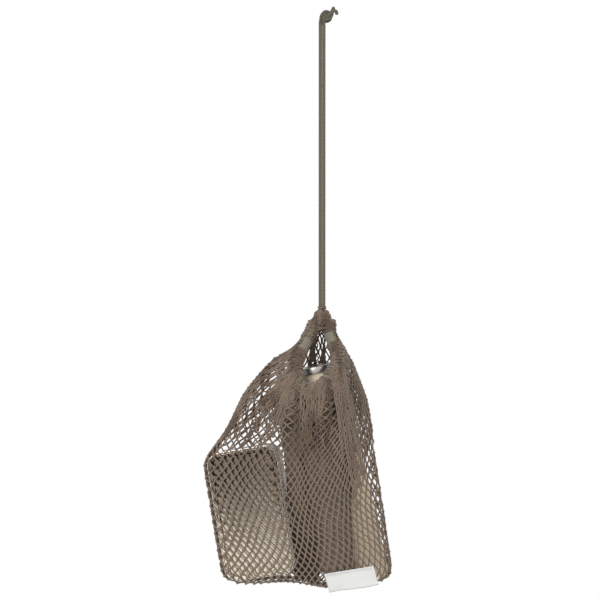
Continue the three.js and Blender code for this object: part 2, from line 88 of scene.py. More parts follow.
def shade(red, green, blue):
    """The linear colour of a 0 to 255 colour card value."""
    return tuple(
        c / 255 / 12.92 if c < 11 else ((c / 255 + 0.055) / 1.055) ** 2.4
        for c in (red, green, blue)
    )


# ---------------------------------------------------------------- settings


def size(label, text, value):
    return bpy.props.FloatProperty(
        name=label, description=text, default=value, min=0.1 * MM, max=2, unit="LENGTH", precision=4
    )


def colour(label, text, value):
    return bpy.props.FloatVectorProperty(
        name=label, description=text, default=value, min=0, max=1, size=3, subtype="COLOR"
    )


class StringBagSettings(bpy.types.PropertyGroup):
    columns: bpy.props.IntProperty(
        name="Meshes round", description="Knotted meshes round the bag", default=52, min=16, max=96
    )
    rows: bpy.props.IntProperty(
        name="Half rows", description="Rows of knots from mouth to seam", default=42, min=8, max=80
    )
    string_width: size("String", "Thickness of the net's string", 2.0 * MM)
    cord_width: size("Cord", "Thickness of the drawcord", 4.2 * MM)
    band_width: size("Band", "Thickness of the drawn-up mouth band", 15 * MM)
    bottle_width: size("Bottle width", "Outside of the bottle", 67 * MM)
    bottle_height: size("Bottle height", "Foot to the top of the cap", 265 * MM)
    cap_width: size("Cap width", "Outside of the bottle's cap", 44 * MM)
    cap_height: size("Cap height", "Height of the bottle's cap", 8 * MM)
    lid_depth: size("Lid depth", "Depth of the tin's lid", 12 * MM)
    sheet: size("Tin sheet", "Thickness of the tin's walls", 0.5 * MM)
    label_width: size("Label width", "Sewn width of the label", 60 * MM)
    label_height: size("Label height", "Height of the label", 24 * MM)
    net_colour: colour("Net", "Cotton string of the net", shade(137, 118, 101))
    cord_colour: colour("Cord", "Drawcord", shade(99, 94, 79))
    band_colour: colour("Band", "Fabric tunnel of the mouth", shade(134, 127, 110))
    towel_colour: colour("Cloth", "Folded cloth", shade(158, 139, 121))
    label_colour: colour("Label", "Woven label", shade(238, 238, 236))
    steel_colour: colour("Steel", "Bare steel of cap and tin", shade(198, 193, 186))
    cream_colour: colour("Cream", "Powder coat of the bottle", shade(236, 220, 192))


# ---------------------------------------------------------------- materials


def node(tree, kind, settings=None, **inputs):
    """A shader node with its settings, whose inputs are values or other nodes' outputs."""
    made = tree.nodes.new(kind)
    for name, value in (settings or {}).items():
        setattr(made, name, value)
    for name, value in inputs.items():
        key = int(name[1:]) if name[0] == "i" and name[1:].isdigit() else name.replace("_", " ")
        if isinstance(value, bpy.types.NodeSocket):
            tree.links.new(value, made.inputs[key])
        else:
            made.inputs[key].default_value = value
    return made


def math_node(tree, operation, first, second=0.0, third=0.0):
    kind = {"operation": operation}
    return node(tree, "ShaderNodeMath", kind, i0=first, i1=second, i2=third).outputs[0]


def cloud_node(tree, vector, scale, detail):
    """Soft noise, from 0 to 1."""
    made = node(tree, "ShaderNodeTexNoise", Vector=vector, Scale=scale, Detail=detail)
    return made.outputs["Fac"]


def blend_colours(tree, factor, first, second):
    made = node(tree, "ShaderNodeMix", {"data_type": "RGBA"}, i0=factor)
    for index, value in ((6, first), (7, second)):
        if isinstance(value, bpy.types.NodeSocket):
            tree.links.new(value, made.inputs[index])
        else:
            made.inputs[index].default_value = (*value, 1)
    return made.outputs[2]


def smooth_range(tree, value, low, high):
    """0 where the value is low and 1 where it is high, with a soft step between."""
    kind = {"interpolation_type": "SMOOTHSTEP"}
    made = node(tree, "ShaderNodeMapRange", kind, Value=value, From_Min=low, From_Max=high)
    return made.outputs[0]


def lift(base, times):
    return tuple(min(1.0, channel * times) for channel in base)


def start_material(name, roughness, metallic=0.0):
    """A new material with its tree, its shader, and the Object and UV places on the piece."""
    material = bpy.data.materials.new(name)
    material.use_nodes = True
    tree = material.node_tree
    shader = tree.nodes["Principled BSDF"]
    shader.inputs["Roughness"].default_value = roughness
    shader.inputs["Metallic"].default_value = metallic
    place = tree.nodes.new("ShaderNodeTexCoord")
    return material, tree, shader, place.outputs


def add_bump(tree, shader, height, strength, distance):
    bump = node(tree, "ShaderNodeBump", Strength=strength, Distance=distance, Height=height)
    tree.links.new(bump.outputs["Normal"], shader.inputs["Normal"])


def string_material(name, base, plies, length):
    """Twisted cotton: ply lines round the string with painted shade in their grooves, loose fibres,
    and long vertical streaks of painted shade for the shadows in the net's folds, which also cover
    the lower strings.
    """
    material, tree, shader, place = start_material(name, 0.92)
    shader.inputs["Sheen Weight"].default_value = 0.18
    shader.inputs["Sheen Roughness"].default_value = 0.6
    twist_pitch = 3.2 * MM
    split = node(tree, "ShaderNodeSeparateXYZ", Vector=place["UV"])
    along = math_node(tree, "MULTIPLY", split.outputs["X"], length / twist_pitch)
    turn = math_node(tree, "ADD", along, math_node(tree, "MULTIPLY", split.outputs["Y"], plies))
    wave = math_node(tree, "SINE", math_node(tree, "MULTIPLY", turn, math.tau))
    ply = math_node(tree, "MULTIPLY_ADD", wave, 0.5, 0.5)
    # Painted shade: long vertical streaks of a darker tone stand for the shadows in the net's
    # folds.
    fall = node(tree, "ShaderNodeMapping", Vector=place["Object"], Scale=(85, 40, 11))
    painted_shade_mask = smooth_range(tree, cloud_node(tree, fall.outputs[0], 1, 3), 0.42, 0.53)
    # From 0.47 m to 0.54 m below the origin the strings go over to the same painted shade, and stay
    # in it lower down.
    height = node(tree, "ShaderNodeSeparateXYZ", Vector=place["Object"]).outputs["Z"]
    painted_shade_mask = math_node(tree, "MAXIMUM", painted_shade_mask, smooth_range(tree, height, -0.47, -0.54))
    fine = cloud_node(tree, place["Object"], 1500, 2)
    blended_tone = blend_colours(tree, fine, lift(base, 0.8), lift(base, 1.16))
    # Painted shade in the grooves between the plies.
    grooved = blend_colours(tree, ply, lift(base, 0.6), blended_tone)
    # The painted shade tone: a darker, browner string, with painted shade in its ply grooves too.
    deep = (base[0] * 0.55, base[1] * 0.48, base[2] * 0.42)
    shaded = blend_colours(tree, ply, lift(deep, 0.65), deep)
    tree.links.new(blend_colours(tree, painted_shade_mask, shaded, grooved), shader.inputs["Base Color"])
    fuzz = math_node(tree, "MULTIPLY", fine, 0.5)
    add_bump(tree, shader, math_node(tree, "ADD", ply, fuzz), 0.5, 0.35 * MM)
    return material


def woven_material(name, base, thread, strength=0.4, mottle=0.14, pile=0.0, painted_shade_corner=None):
    """Plain-woven cotton: crossing threads, uneven dye, a soft nap, and painted shade in one
    corner.

    The shaded corner is given by an axis, where the painted shade starts and where it is darkest,
    for each side.
    """
    material, tree, shader, place = start_material(name, 0.9)
    shader.inputs["Sheen Weight"].default_value = 0.22
    shader.inputs["Sheen Roughness"].default_value = 0.5
    rate = math.tau / thread
    split = node(tree, "ShaderNodeSeparateXYZ", Vector=place["Object"])
    across = math_node(tree, "ADD", split.outputs["X"], split.outputs["Y"])
    warp = math_node(tree, "SINE", math_node(tree, "MULTIPLY", across, rate))
    weft = math_node(tree, "SINE", math_node(tree, "MULTIPLY", split.outputs["Z"], rate))
    threads = math_node(tree, "MULTIPLY", warp, weft)
    broad = cloud_node(tree, place["Object"], 55, 4)
    nap = cloud_node(tree, place["Object"], 900, 3)
    pale, strong = lift(base, 1 + 1.6 * mottle), lift(base, 1 - 1.6 * mottle)
    dyed = blend_colours(tree, broad, strong, pale)
    blended_tone = blend_colours(tree, nap, lift(base, 0.82), dyed)
    if painted_shade_corner:
        # Painted shade: towards the corner the cloth goes over to a deep brown, for a fold lying in
        # shadow.
        reach = [smooth_range(tree, split.outputs[axis], unshaded_at, darkest_at) for axis, unshaded_at, darkest_at in painted_shade_corner]
        shadow_colour = (base[0] * 0.22, base[1] * 0.18, base[2] * 0.15)
        blended_tone = blend_colours(tree, math_node(tree, "MULTIPLY", *reach), blended_tone, shadow_colour)
    tree.links.new(blended_tone, shader.inputs["Base Color"])
    rough = math_node(tree, "MULTIPLY", nap, 0.6 + pile)
    add_bump(tree, shader, math_node(tree, "ADD", threads, rough), strength, thread * 0.4)
    return material


def steel_material(name, base, roughness, grain, painted_shade_span=None):
    """Brushed steel: drawn grain lines and faint smears; over a given height span it turns shinier
    and is painted a darker brown towards the top, as shade from the dense net over it and its dark
    reflection.
    """
    material, tree, shader, place = start_material(name, roughness, 1.0)
    stretch = node(tree, "ShaderNodeMapping", Vector=place["Object"], Scale=grain)
    lines = cloud_node(tree, stretch.outputs[0], 1, 4)
    smear = cloud_node(tree, place["Object"], 24, 3)
    tone = blend_colours(tree, smear, lift(base, 0.82), lift(base, 1.12))
    if painted_shade_span:
        split = node(tree, "ShaderNodeSeparateXYZ", Vector=place["Object"])
        rise = smooth_range(tree, split.outputs["Z"], *painted_shade_span)
        # Painted shade: towards the top the steel goes over to a dark brown.
        tone = blend_colours(tree, rise, tone, shade(118, 107, 95))
        shine = math_node(tree, "MULTIPLY_ADD", rise, -0.08, roughness)
        spread = math_node(tree, "MAXIMUM", 0.08, shine)
    else:
        spread = math_node(tree, "MULTIPLY_ADD", lines, 0.22, roughness - 0.08)
    tree.links.new(tone, shader.inputs["Base Color"])
    tree.links.new(spread, shader.inputs["Roughness"])
    add_bump(tree, shader, lines, 0.12, 0.05 * MM)
    return material


def coat_material(name, base):
    """Powder coat: a satin skin with fine orange peel, rubbed a little paler in places."""
    material, tree, shader, place = start_material(name, 0.48)
    shader.inputs["Coat Weight"].default_value = 0.12
    shader.inputs["Coat Roughness"].default_value = 0.35
    peel = cloud_node(tree, place["Object"], 1300, 2)
    rub = cloud_node(tree, place["Object"], 17, 5)
    tone = blend_colours(tree, rub, lift(base, 0.92), lift(base, 1.06))
    tree.links.new(tone, shader.inputs["Base Color"])
    add_bump(tree, shader, peel, 0.18, 0.12 * MM)
    return material


def seal_material(name, base):
    """Moulded silicone: dull, faintly clouded."""
    material, tree, shader, place = start_material(name, 0.6)
    cloud = cloud_node(tree, place["Object"], 80, 3)
    tone = blend_colours(tree, cloud, lift(base, 0.9), lift(base, 1.05))
    tree.links.new(tone, shader.inputs["Base Color"])
    add_bump(tree, shader, cloud, 0.1, 0.1 * MM)
    return material


MATERIALS = {}


def finish(name):
    """The finish of that name, made the first time that a piece asks for it."""
    if name not in MATERIALS:
        bag = bpy.context.scene.string_bag
        steel, label = bag.steel_colour, bag.label_colour
        cord, towel = bag.cord_colour, bag.towel_colour
        # Painted shade on the towel's tucked corner, low on the left between the tin and the
        # bottle.
        painted_shade_corner = (("X", 0.008, -0.012), ("Z", -0.545, -0.63))
        turned, drawn, rolled = (30, 30, 1500), (1400, 60, 14), (60, 60, 60)
        polish, silicone = shade(250, 246, 238), shade(214, 211, 203)
        # The tin's colours, and the height spans over which its lid and base are painted darker
        # towards the top as shade.
        lid, lid_painted_shade, base_painted_shade = shade(250, 236, 216), (-0.64, -0.52), (-0.56, -0.47)
        make = {
            "net": (string_material, "net string", bag.net_colour, 2, 0.29),
            "cord": (string_material, "twisted cord", cord, 3, 0.05),
            "straight_cord": (woven_material, "cord run", cord, 0.9 * MM, 0.3),
            "band": (woven_material, "mouth band", bag.band_colour, 0.7 * MM, 0.35),
            "towel": (woven_material, "towelling", towel, 2.2 * MM, 0.8, 0.12, 0.6, painted_shade_corner),
            "label": (woven_material, "label", label, 0.5 * MM, 0.25, 0.02),
            "thread": (woven_material, "thread", lift(label, 0.8), 0.4 * MM, 0.3),
            "cap": (steel_material, "cap steel", lift(steel, 0.78), 0.3, turned),
            "hem": (steel_material, "hem steel", polish, 0.35, rolled),
            "tin": (steel_material, "tin steel", lid, 0.25, drawn, lid_painted_shade),
            "tin_base": (steel_material, "base steel", lift(steel, 1.2), 0.5, drawn, base_painted_shade),
            "cream": (coat_material, "cream coat", bag.cream_colour),
            "seal": (seal_material, "silicone", silicone),
        }
        maker, *values = make[name]
        MATERIALS[name] = maker(*values)
    return MATERIALS[name]


# ---------------------------------------------------------------- making pieces


def add_piece(name, shape, look, body=None, replaces=()):
    """Puts a bmesh or a mesh in the scene as a finished piece that rides on a body."""
    if isinstance(shape, bmesh.types.BMesh):
        mesh = bpy.data.meshes.new(name)
        shape.to_mesh(mesh)
        shape.free()
    else:
        mesh = shape
    mesh.name = name
    mesh.shade_smooth()
    mesh.materials.clear()
    mesh.materials.append(finish(look))
    piece = bpy.data.objects.new(name, mesh)
    bpy.context.scene.collection.objects.link(piece)
    if replaces:
        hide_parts(*replaces)
    if body:
        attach(piece, body)
    return piece


def dress(name, look):
    """Gives a CAD node that stays its finish."""
    mesh = frame["nodes"][name].data
    mesh.materials.clear()
    mesh.materials.append(finish(look))


def through(points, step, closed=False):
    """A smooth line through the points, sampled about every step."""
    p = [Vector(q) for q in points]
    ends = [p[-1], *p, p[0], p[1]] if closed else [2 * p[0] - p[1], *p, 2 * p[-1] - p[-2]]
    line = []
    for a, b, c, d in zip(ends, ends[1:], ends[2:], ends[3:]):
        count = max(1, round((c - b).length / step))
        bend, twist = 2 * a - 5 * b + 4 * c - d, 3 * b - a - 3 * c + d
        for t in (k / count for k in range(count)):
            line.append(0.5 * (2 * b + (c - a) * t + bend * t**2 + twist * t**3))
    return line if closed else [*line, p[-1]]


def strings(runs, width, sides=6, closed=False):
    """One mesh of round strings; each run is its points and its thickness at each."""
    curve = bpy.data.curves.new("strings", "CURVE")
    curve.dimensions = "3D"
    curve.bevel_depth = width / 2
    curve.bevel_resolution = (sides - 4) // 2
    curve.use_fill_caps = True
    for points, thick in runs:
        spline = curve.splines.new("POLY")
        spline.points.add(len(points) - 1)
        spline.points.foreach_set("co", [c for p in points for c in (*p, 1)])
        spline.points.foreach_set("radius", thick)
        spline.use_cyclic_u = closed
        spline.use_smooth = True
    maker = bpy.data.objects.new("strings", curve)
    bpy.context.scene.collection.objects.link(maker)
    bpy.context.view_layer.update()
    ready = maker.evaluated_get(bpy.context.evaluated_depsgraph_get())
    mesh = bpy.data.meshes.new_from_object(ready)
    bpy.data.objects.remove(maker)
    bpy.data.curves.remove(curve)
    return mesh


def even(points, width=1.0):
    return points, [width] * len(points)


def lathe(profile, frame_matrix, steps=96):
    """A closed turned solid from a profile of (radius, height) that starts and ends on the axis."""
    shape = bmesh.new()
    line = [shape.verts.new((r, 0, h)) for r, h in profile]
    edges = [shape.edges.new(pair) for pair in zip(line, line[1:])]
    bmesh.ops.spin(
        shape,
        geom=[*line, *edges],
        cent=(0, 0, 0),
        axis=(0, 0, 1),
        angle=math.tau,
        steps=steps,
        use_merge=True,
    )
    bmesh.ops.remove_doubles(shape, verts=shape.verts, dist=0.01 * MM)
    bmesh.ops.recalc_face_normals(shape, faces=shape.faces)
    bmesh.ops.transform(shape, matrix=frame_matrix, verts=shape.verts)
    return shape


def sharpen(piece, degrees=35):
    """Keeps the corners crisp on a smooth-shaded piece."""
    shape = bmesh.new()
    shape.from_mesh(piece.data)
    for edge in shape.edges:
        if len(edge.link_faces) == 2 and edge.calc_face_angle(0) > math.radians(degrees):
            edge.smooth = False
    shape.to_mesh(piece.data)
    shape.free()


# ---------------------------------------------------------------- routes, as in the CAD source

NECK = Vector(JOINTS["bag_sway"]["pos_m"])
LIP_LEFT = Vector(JOINTS["lip_fold"]["pos_m"])
LIP_RIGHT = Vector((0.006, LIP_LEFT.y, NECK.z - 0.0714))
LEG_BACK = 4 * MM
LIP_SAG = 11 * MM


def leg_point(x, forward, drop):
    y = LEG_BACK + (LIP_LEFT.y - LEG_BACK) * forward
    return Vector((x * MM, y, NECK.z - drop * MM))


LEFT_BENDS = (-7.8, 0, 4), (-10.8, 0.1, 14), (-19.2, 0.3, 28), (-27.5, 0.55, 43), (-32.5, 0.8, 58)
RIGHT_BENDS = (7.8, 0, 4), (8.4, 0.1, 14), (12.6, 0.28, 28), (18.4, 0.52, 42), (17.2, 0.8, 57)
LEFT_LEG = [*(leg_point(*bend) for bend in LEFT_BENDS), LIP_LEFT]
RIGHT_LEG = [*(leg_point(*bend) for bend in RIGHT_BENDS), LIP_RIGHT]


def lip_point(share, forward, sag):
    return LIP_LEFT.lerp(LIP_RIGHT, share) + Vector((0, -forward * MM, -sag * LIP_SAG))


LIP_BENDS = (0.22, 2.5, 0.7), (0.5, 4, 1), (0.78, 2.5, 0.7)
LIP = [LIP_LEFT, *(lip_point(*bend) for bend in LIP_BENDS), LIP_RIGHT]


class Route:
    """A sampled line with its length, so that a place on it can be named by its share."""

    def __init__(self, points):
        self.points = through(points, 1.2 * MM)
        steps = [(b - a).length for a, b in zip(self.points, self.points[1:])]
        self.reach = np.concatenate([[0], np.cumsum(steps)])
        self.length = float(self.reach[-1])
        self.table = np.array(self.points)

    def at(self, share):
        d = min(max(share, 0), 1) * self.length
        return Vector([float(np.interp(d, self.reach, self.table[:, k])) for k in range(3)])

    def heading(self, share):
        return (self.at(share + 0.02) - self.at(share - 0.02)).normalized()


LEFT_ROUTE, RIGHT_ROUTE, LIP_ROUTE = Route(LEFT_LEG), Route(RIGHT_LEG), Route(LIP)
MOUTH_LENGTH = LEFT_ROUTE.length + LIP_ROUTE.length + RIGHT_ROUTE.length


def mouth_at(turn):
    """A place on the mouth loop: 0 at the neck, then down the left leg, the lip and up."""
    d = (turn % 1) * MOUTH_LENGTH
    if d < LEFT_ROUTE.length:
        return LEFT_ROUTE.at(d / LEFT_ROUTE.length)
    d -= LEFT_ROUTE.length
    if d < LIP_ROUTE.length:
        return LIP_ROUTE.at(d / LIP_ROUTE.length)
    return RIGHT_ROUTE.at(1 - (d - LIP_ROUTE.length) / RIGHT_ROUTE.length)


# ---------------------------------------------------------------- stage and cord


class STRINGBAG_OT_stage(bpy.types.Operator):
    """Sets the camera, the soft studio light and the pale floor"""

    bl_idname = "string_bag.stage"
    bl_label = "Stage"

    AIM = Vector((-0.0264, 0, -0.324))
    CAMERA_AWAY, CAMERA_TILT = 2.5, 0.035
    LAMPS_AIM = Vector((0, 0, -0.5))
    FLOOR_GAP = 0.34  # the bag hangs this far over the floor

    def execute(self, context):
        scene = context.scene
        scene.view_settings.view_transform = "Standard"
        camera = bpy.data.objects.new("camera", bpy.data.cameras.new("camera"))
        camera.data.sensor_width, camera.data.lens = 36, 125
        tilt = self.CAMERA_TILT
        camera.location = self.AIM + self.CAMERA_AWAY * Vector((0, -math.cos(tilt), math.sin(tilt)))
        self.face(camera, self.AIM)
        scene.collection.objects.link(camera)
        scene.camera = camera
        self.light("key", (-1.1, -1.7, 0.75), 1.3, 33)
        self.light("fill", (1.5, -1.3, -0.2), 1.6, 12)
        self.light("top", (0.2, 0.7, 1.3), 1.2, 14)
        self.floor(scene)
        self.surroundings(scene)
        return {"FINISHED"}

    def light(self, name, place, width, power):
        lamp = bpy.data.lights.new(name, "AREA")
        lamp.size, lamp.energy = width, power
        holder = bpy.data.objects.new(name, lamp)
        holder.location = place
        self.face(holder, self.LAMPS_AIM)
        bpy.context.scene.collection.objects.link(holder)

    def face(self, holder, aim):
        holder.rotation_euler = (aim - holder.location).to_track_quat("-Z", "Y").to_euler()

    def floor(self, scene):
        shape = bmesh.new()
        drop = Matrix.Translation((0, 0, CAD_BOX[0].z - self.FLOOR_GAP))
        bmesh.ops.create_grid(shape, x_segments=4, y_segments=4, size=1.4, matrix=drop)
        mesh = bpy.data.meshes.new("floor")
        shape.to_mesh(mesh)
        shape.free()
        floor = bpy.data.objects.new("floor", mesh)
        scene.collection.objects.link(floor)
        material, tree, shader, place = start_material("pale floor", 0.7)
        speck = cloud_node(tree, place["Object"], 9, 3)
        tone = blend_colours(tree, speck, (0.8, 0.8, 0.79), (0.86, 0.86, 0.85))
        tree.links.new(tone, shader.inputs["Base Color"])
        mesh.materials.append(material)

    def surroundings(self, scene):
        world = bpy.data.worlds.new("white room")
        scene.world = world
        world.use_nodes = True
        tree = world.node_tree
        soft = tree.nodes["Background"]
        soft.inputs["Color"].default_value = (1, 1, 1, 1)
        soft.inputs["Strength"].default_value = 0.42
        white = node(tree, "ShaderNodeBackground", Strength=1.0)
        white.inputs["Color"].default_value = (1, 1, 1, 1)
        path = tree.nodes.new("ShaderNodeLightPath").outputs
        mirror = math_node(tree, "MAXIMUM", path["Is Glossy Ray"], path["Is Transmission Ray"])
        seen = math_node(tree, "MAXIMUM", path["Is Camera Ray"], mirror)
        pair = {"i1": soft.outputs[0], "i2": white.outputs[0]}
        mix = node(tree, "ShaderNodeMixShader", Fac=seen, **pair)
        tree.links.new(mix.outputs[0], tree.nodes["World Output"].inputs["Surface"])


class STRINGBAG_OT_cord(bpy.types.Operator):
    """Makes the doubled drawcord, its top knot, the tails and the string round it"""

    bl_idname = "string_bag.cord"
    bl_label = "Cord and knot"

    # The knot's middle line, and the tails from where it ends, in millimetres.
    KNOT = (
        (0, 0, 4.5), (0, -0.6, 9.5), (1, -2.2, 15.2), (4.4, -2.4, 18.8),
        (8.2, 0.6, 17.2), (8.2, 3.6, 12.6), (4.4, 4.8, 11.2), (0.6, 3.2, 13.4),
        (1.6, -0.4, 15.2), (5.6, -4, 12.6), (9, -3.6, 14.6), (10.5, -1.5, 18.8),
    )
    KNOT_END = Vector((10.5, -1.5, 18.85)) * MM
    TAILS = {
        "tail_upper": ((-1, 0, -2.5), (1, 0.8, 1.6), (2.4, 1.4, 4.6), (3.8, 1.7, 7.2)),
        "tail_lower": (
            (0, -1.6, -2.4), (1.8, -3, 0.8), (4.6, -3.8, 2.2),
            (6.6, -3.6, 0.6), (6.9, -3.4, -2.6),
        ),
    }

    def execute(self, context):
        bag = context.scene.string_bag
        radius = bag.cord_width / 2
        tails = self.knot(radius)
        for name, side in (("strand_left", -1), ("strand_right", 1)):
            self.strand(name, side * radius, radius, tails if side > 0 else ())
        self.wrap(bag)
        return {"FINISHED"}

    def strand(self, name, x, radius, tails):
        """A straight laid cord: a lobed section, screwed down from the knot."""
        top, foot, pitch, share = 9 * MM, NECK.z + 8 * MM, 15 * MM, 12
        steps = round((top - foot) / pitch * share)
        shape = bmesh.new()
        place = Matrix.Translation((x, 0, top))
        ring = bmesh.ops.create_circle(shape, segments=12, radius=radius, matrix=place)["verts"]
        for k, vert in enumerate(ring):
            lobe = 0.965 + 0.035 * math.cos(math.pi * k / 2)
            vert.co = place.translation + (vert.co - place.translation) * lobe
        bmesh.ops.spin(
            shape,
            geom=shape.verts[:] + shape.edges[:],
            cent=(x, 0, 0),
            axis=(0, 0, 1),
            dvec=(0, 0, (foot - top) / steps),
            angle=math.tau * steps / share,
            steps=steps,
        )
        bmesh.ops.holes_fill(shape, edges=[e for e in shape.edges if e.is_boundary])
        bmesh.ops.recalc_face_normals(shape, faces=shape.faces)
        piece = add_piece(name, shape, "straight_cord", replaces=(name,))
        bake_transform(piece)

    def knot(self, radius):
        """An overhand knot in the doubled cord, and the two cut tails above it."""
        route = through([Vector(p) * MM for p in self.KNOT], 0.9 * MM)
        runs = []
        for side in (-1, 1):
            points = []
            for k, point in enumerate(route):
                ahead = route[min(k + 1, len(route) - 1)] - route[max(k - 1, 0)]
                beside = Vector((0, 1, 0)).cross(ahead).normalized()
                if beside.x < 0 and k < 3:
                    beside.negate()
                points.append(point + beside * side * 1.75 * MM)
            runs.append(even(points, 0.9))
        add_piece("top_knot", strings(runs, 2 * radius, 10), "cord", "knot", ("top_knot",))
        made = []
        for name, offsets in self.TAILS.items():
            points = through([self.KNOT_END + Vector(p) * MM for p in offsets], 0.7 * MM)
            thick = [1.0] * len(points)
            thick[-3:] = 1.0, 0.92, 0.62
            mesh = strings([(points, thick)], 2 * radius * 0.97, 10)
            made.append(add_piece(name, mesh, "cord", "knot", (name,)))
        return made

    def wrap(self, bag):
        """Three turns of net string round both strands, just above the neck."""
        wide = bag.cord_width + 0.2 * bag.string_width
        points = []
        for k in range(61):
            turn = math.tau * k / 20
            rise = 10.6 * MM + 2.6 * MM * k / 60
            rise += 0.9 * MM * math.sin(turn * 1.3 + 1)
            round_cord = Vector((wide * math.cos(turn), wide * math.sin(turn) * 0.72, rise))
            points.append(NECK + round_cord)
        mesh = strings([even(points, 0.75)], bag.string_width, 8)
        add_piece("neck_wrap", mesh, "net", "cord", ("neck_wrap",))


# ---------------------------------------------------------------- mouth band and gathers


def pucker(distance, angle, depth):
    """Height of the creases round a drawn-up tunnel, by how far along and round it."""
    slow = math.sin(math.tau * distance / (5.3 * MM) + 1.4 * math.sin(2 * angle + distance * 130))
    quick = math.sin(math.tau * distance / (2.9 * MM) + 1.9 * math.sin(angle + 1 + distance * 210))
    return depth * (0.6 * slow + 0.4 * quick)


class STRINGBAG_OT_band(bpy.types.Operator):
    """Makes the fabric tunnel round the mouth, drawn up on its cord"""

    bl_idname = "string_bag.band"
    bl_label = "Mouth band"

    def execute(self, context):
        bag = context.scene.string_bag
        self.tunnel("mouth_band_left", LEFT_ROUTE, bag, "bag", (0.3, 0.52), False)
        self.tunnel("mouth_band_right", RIGHT_ROUTE, bag, "bag", (0.14, 0.36), False)
        self.tunnel("mouth_band_lip", LIP_ROUTE, bag, "lip", None, True)
        for name in ("drawcord_left", "drawcord_right", "drawcord_lip"):
            dress(name, "straight_cord")
        return {"FINISHED"}

    def tunnel(self, name, route, bag, body, smooth_span, domed):
        """A creased tube along a route, smooth over one span, with domed ends or open ones."""
        radius = bag.band_width / 2
        points, thick = list(route.points), [1.0] * len(route.points)
        if domed:
            for share, step in ((0, -1), (1, 1)):
                out, end = route.heading(share) * step, points[-share]
                for k in range(1, 9):
                    rise = k * math.pi / 16
                    place = share * len(points)
                    points.insert(place, end + out * (radius * math.sin(rise)))
                    thick.insert(place, max(0.04, math.cos(rise)))
        mesh = strings([(points, thick)], 2 * radius, 24)
        line = route.table
        for vert in mesh.vertices:
            away = line - np.array(vert.co)
            k = int((away**2).sum(1).argmin())
            out = Vector(vert.co) - Vector(line[k])
            if out.length < radius * 0.5:
                continue
            share = route.reach[k] / route.length
            flat = smooth_span and smooth_span[0] < share < smooth_span[1]
            depth = (0.16 if flat else 0.75) * MM
            angle = math.atan2(out.z, out.x)
            crease = pucker(float(route.reach[k]), angle, depth)
            vert.co += out.normalized() * (crease - 0.3 * MM)
        add_piece(name, mesh, "band", body, (name,))


def hang_from_lip(piece):
    """Bakes the piece's place into its mesh; it rides on no body."""
    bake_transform(piece)


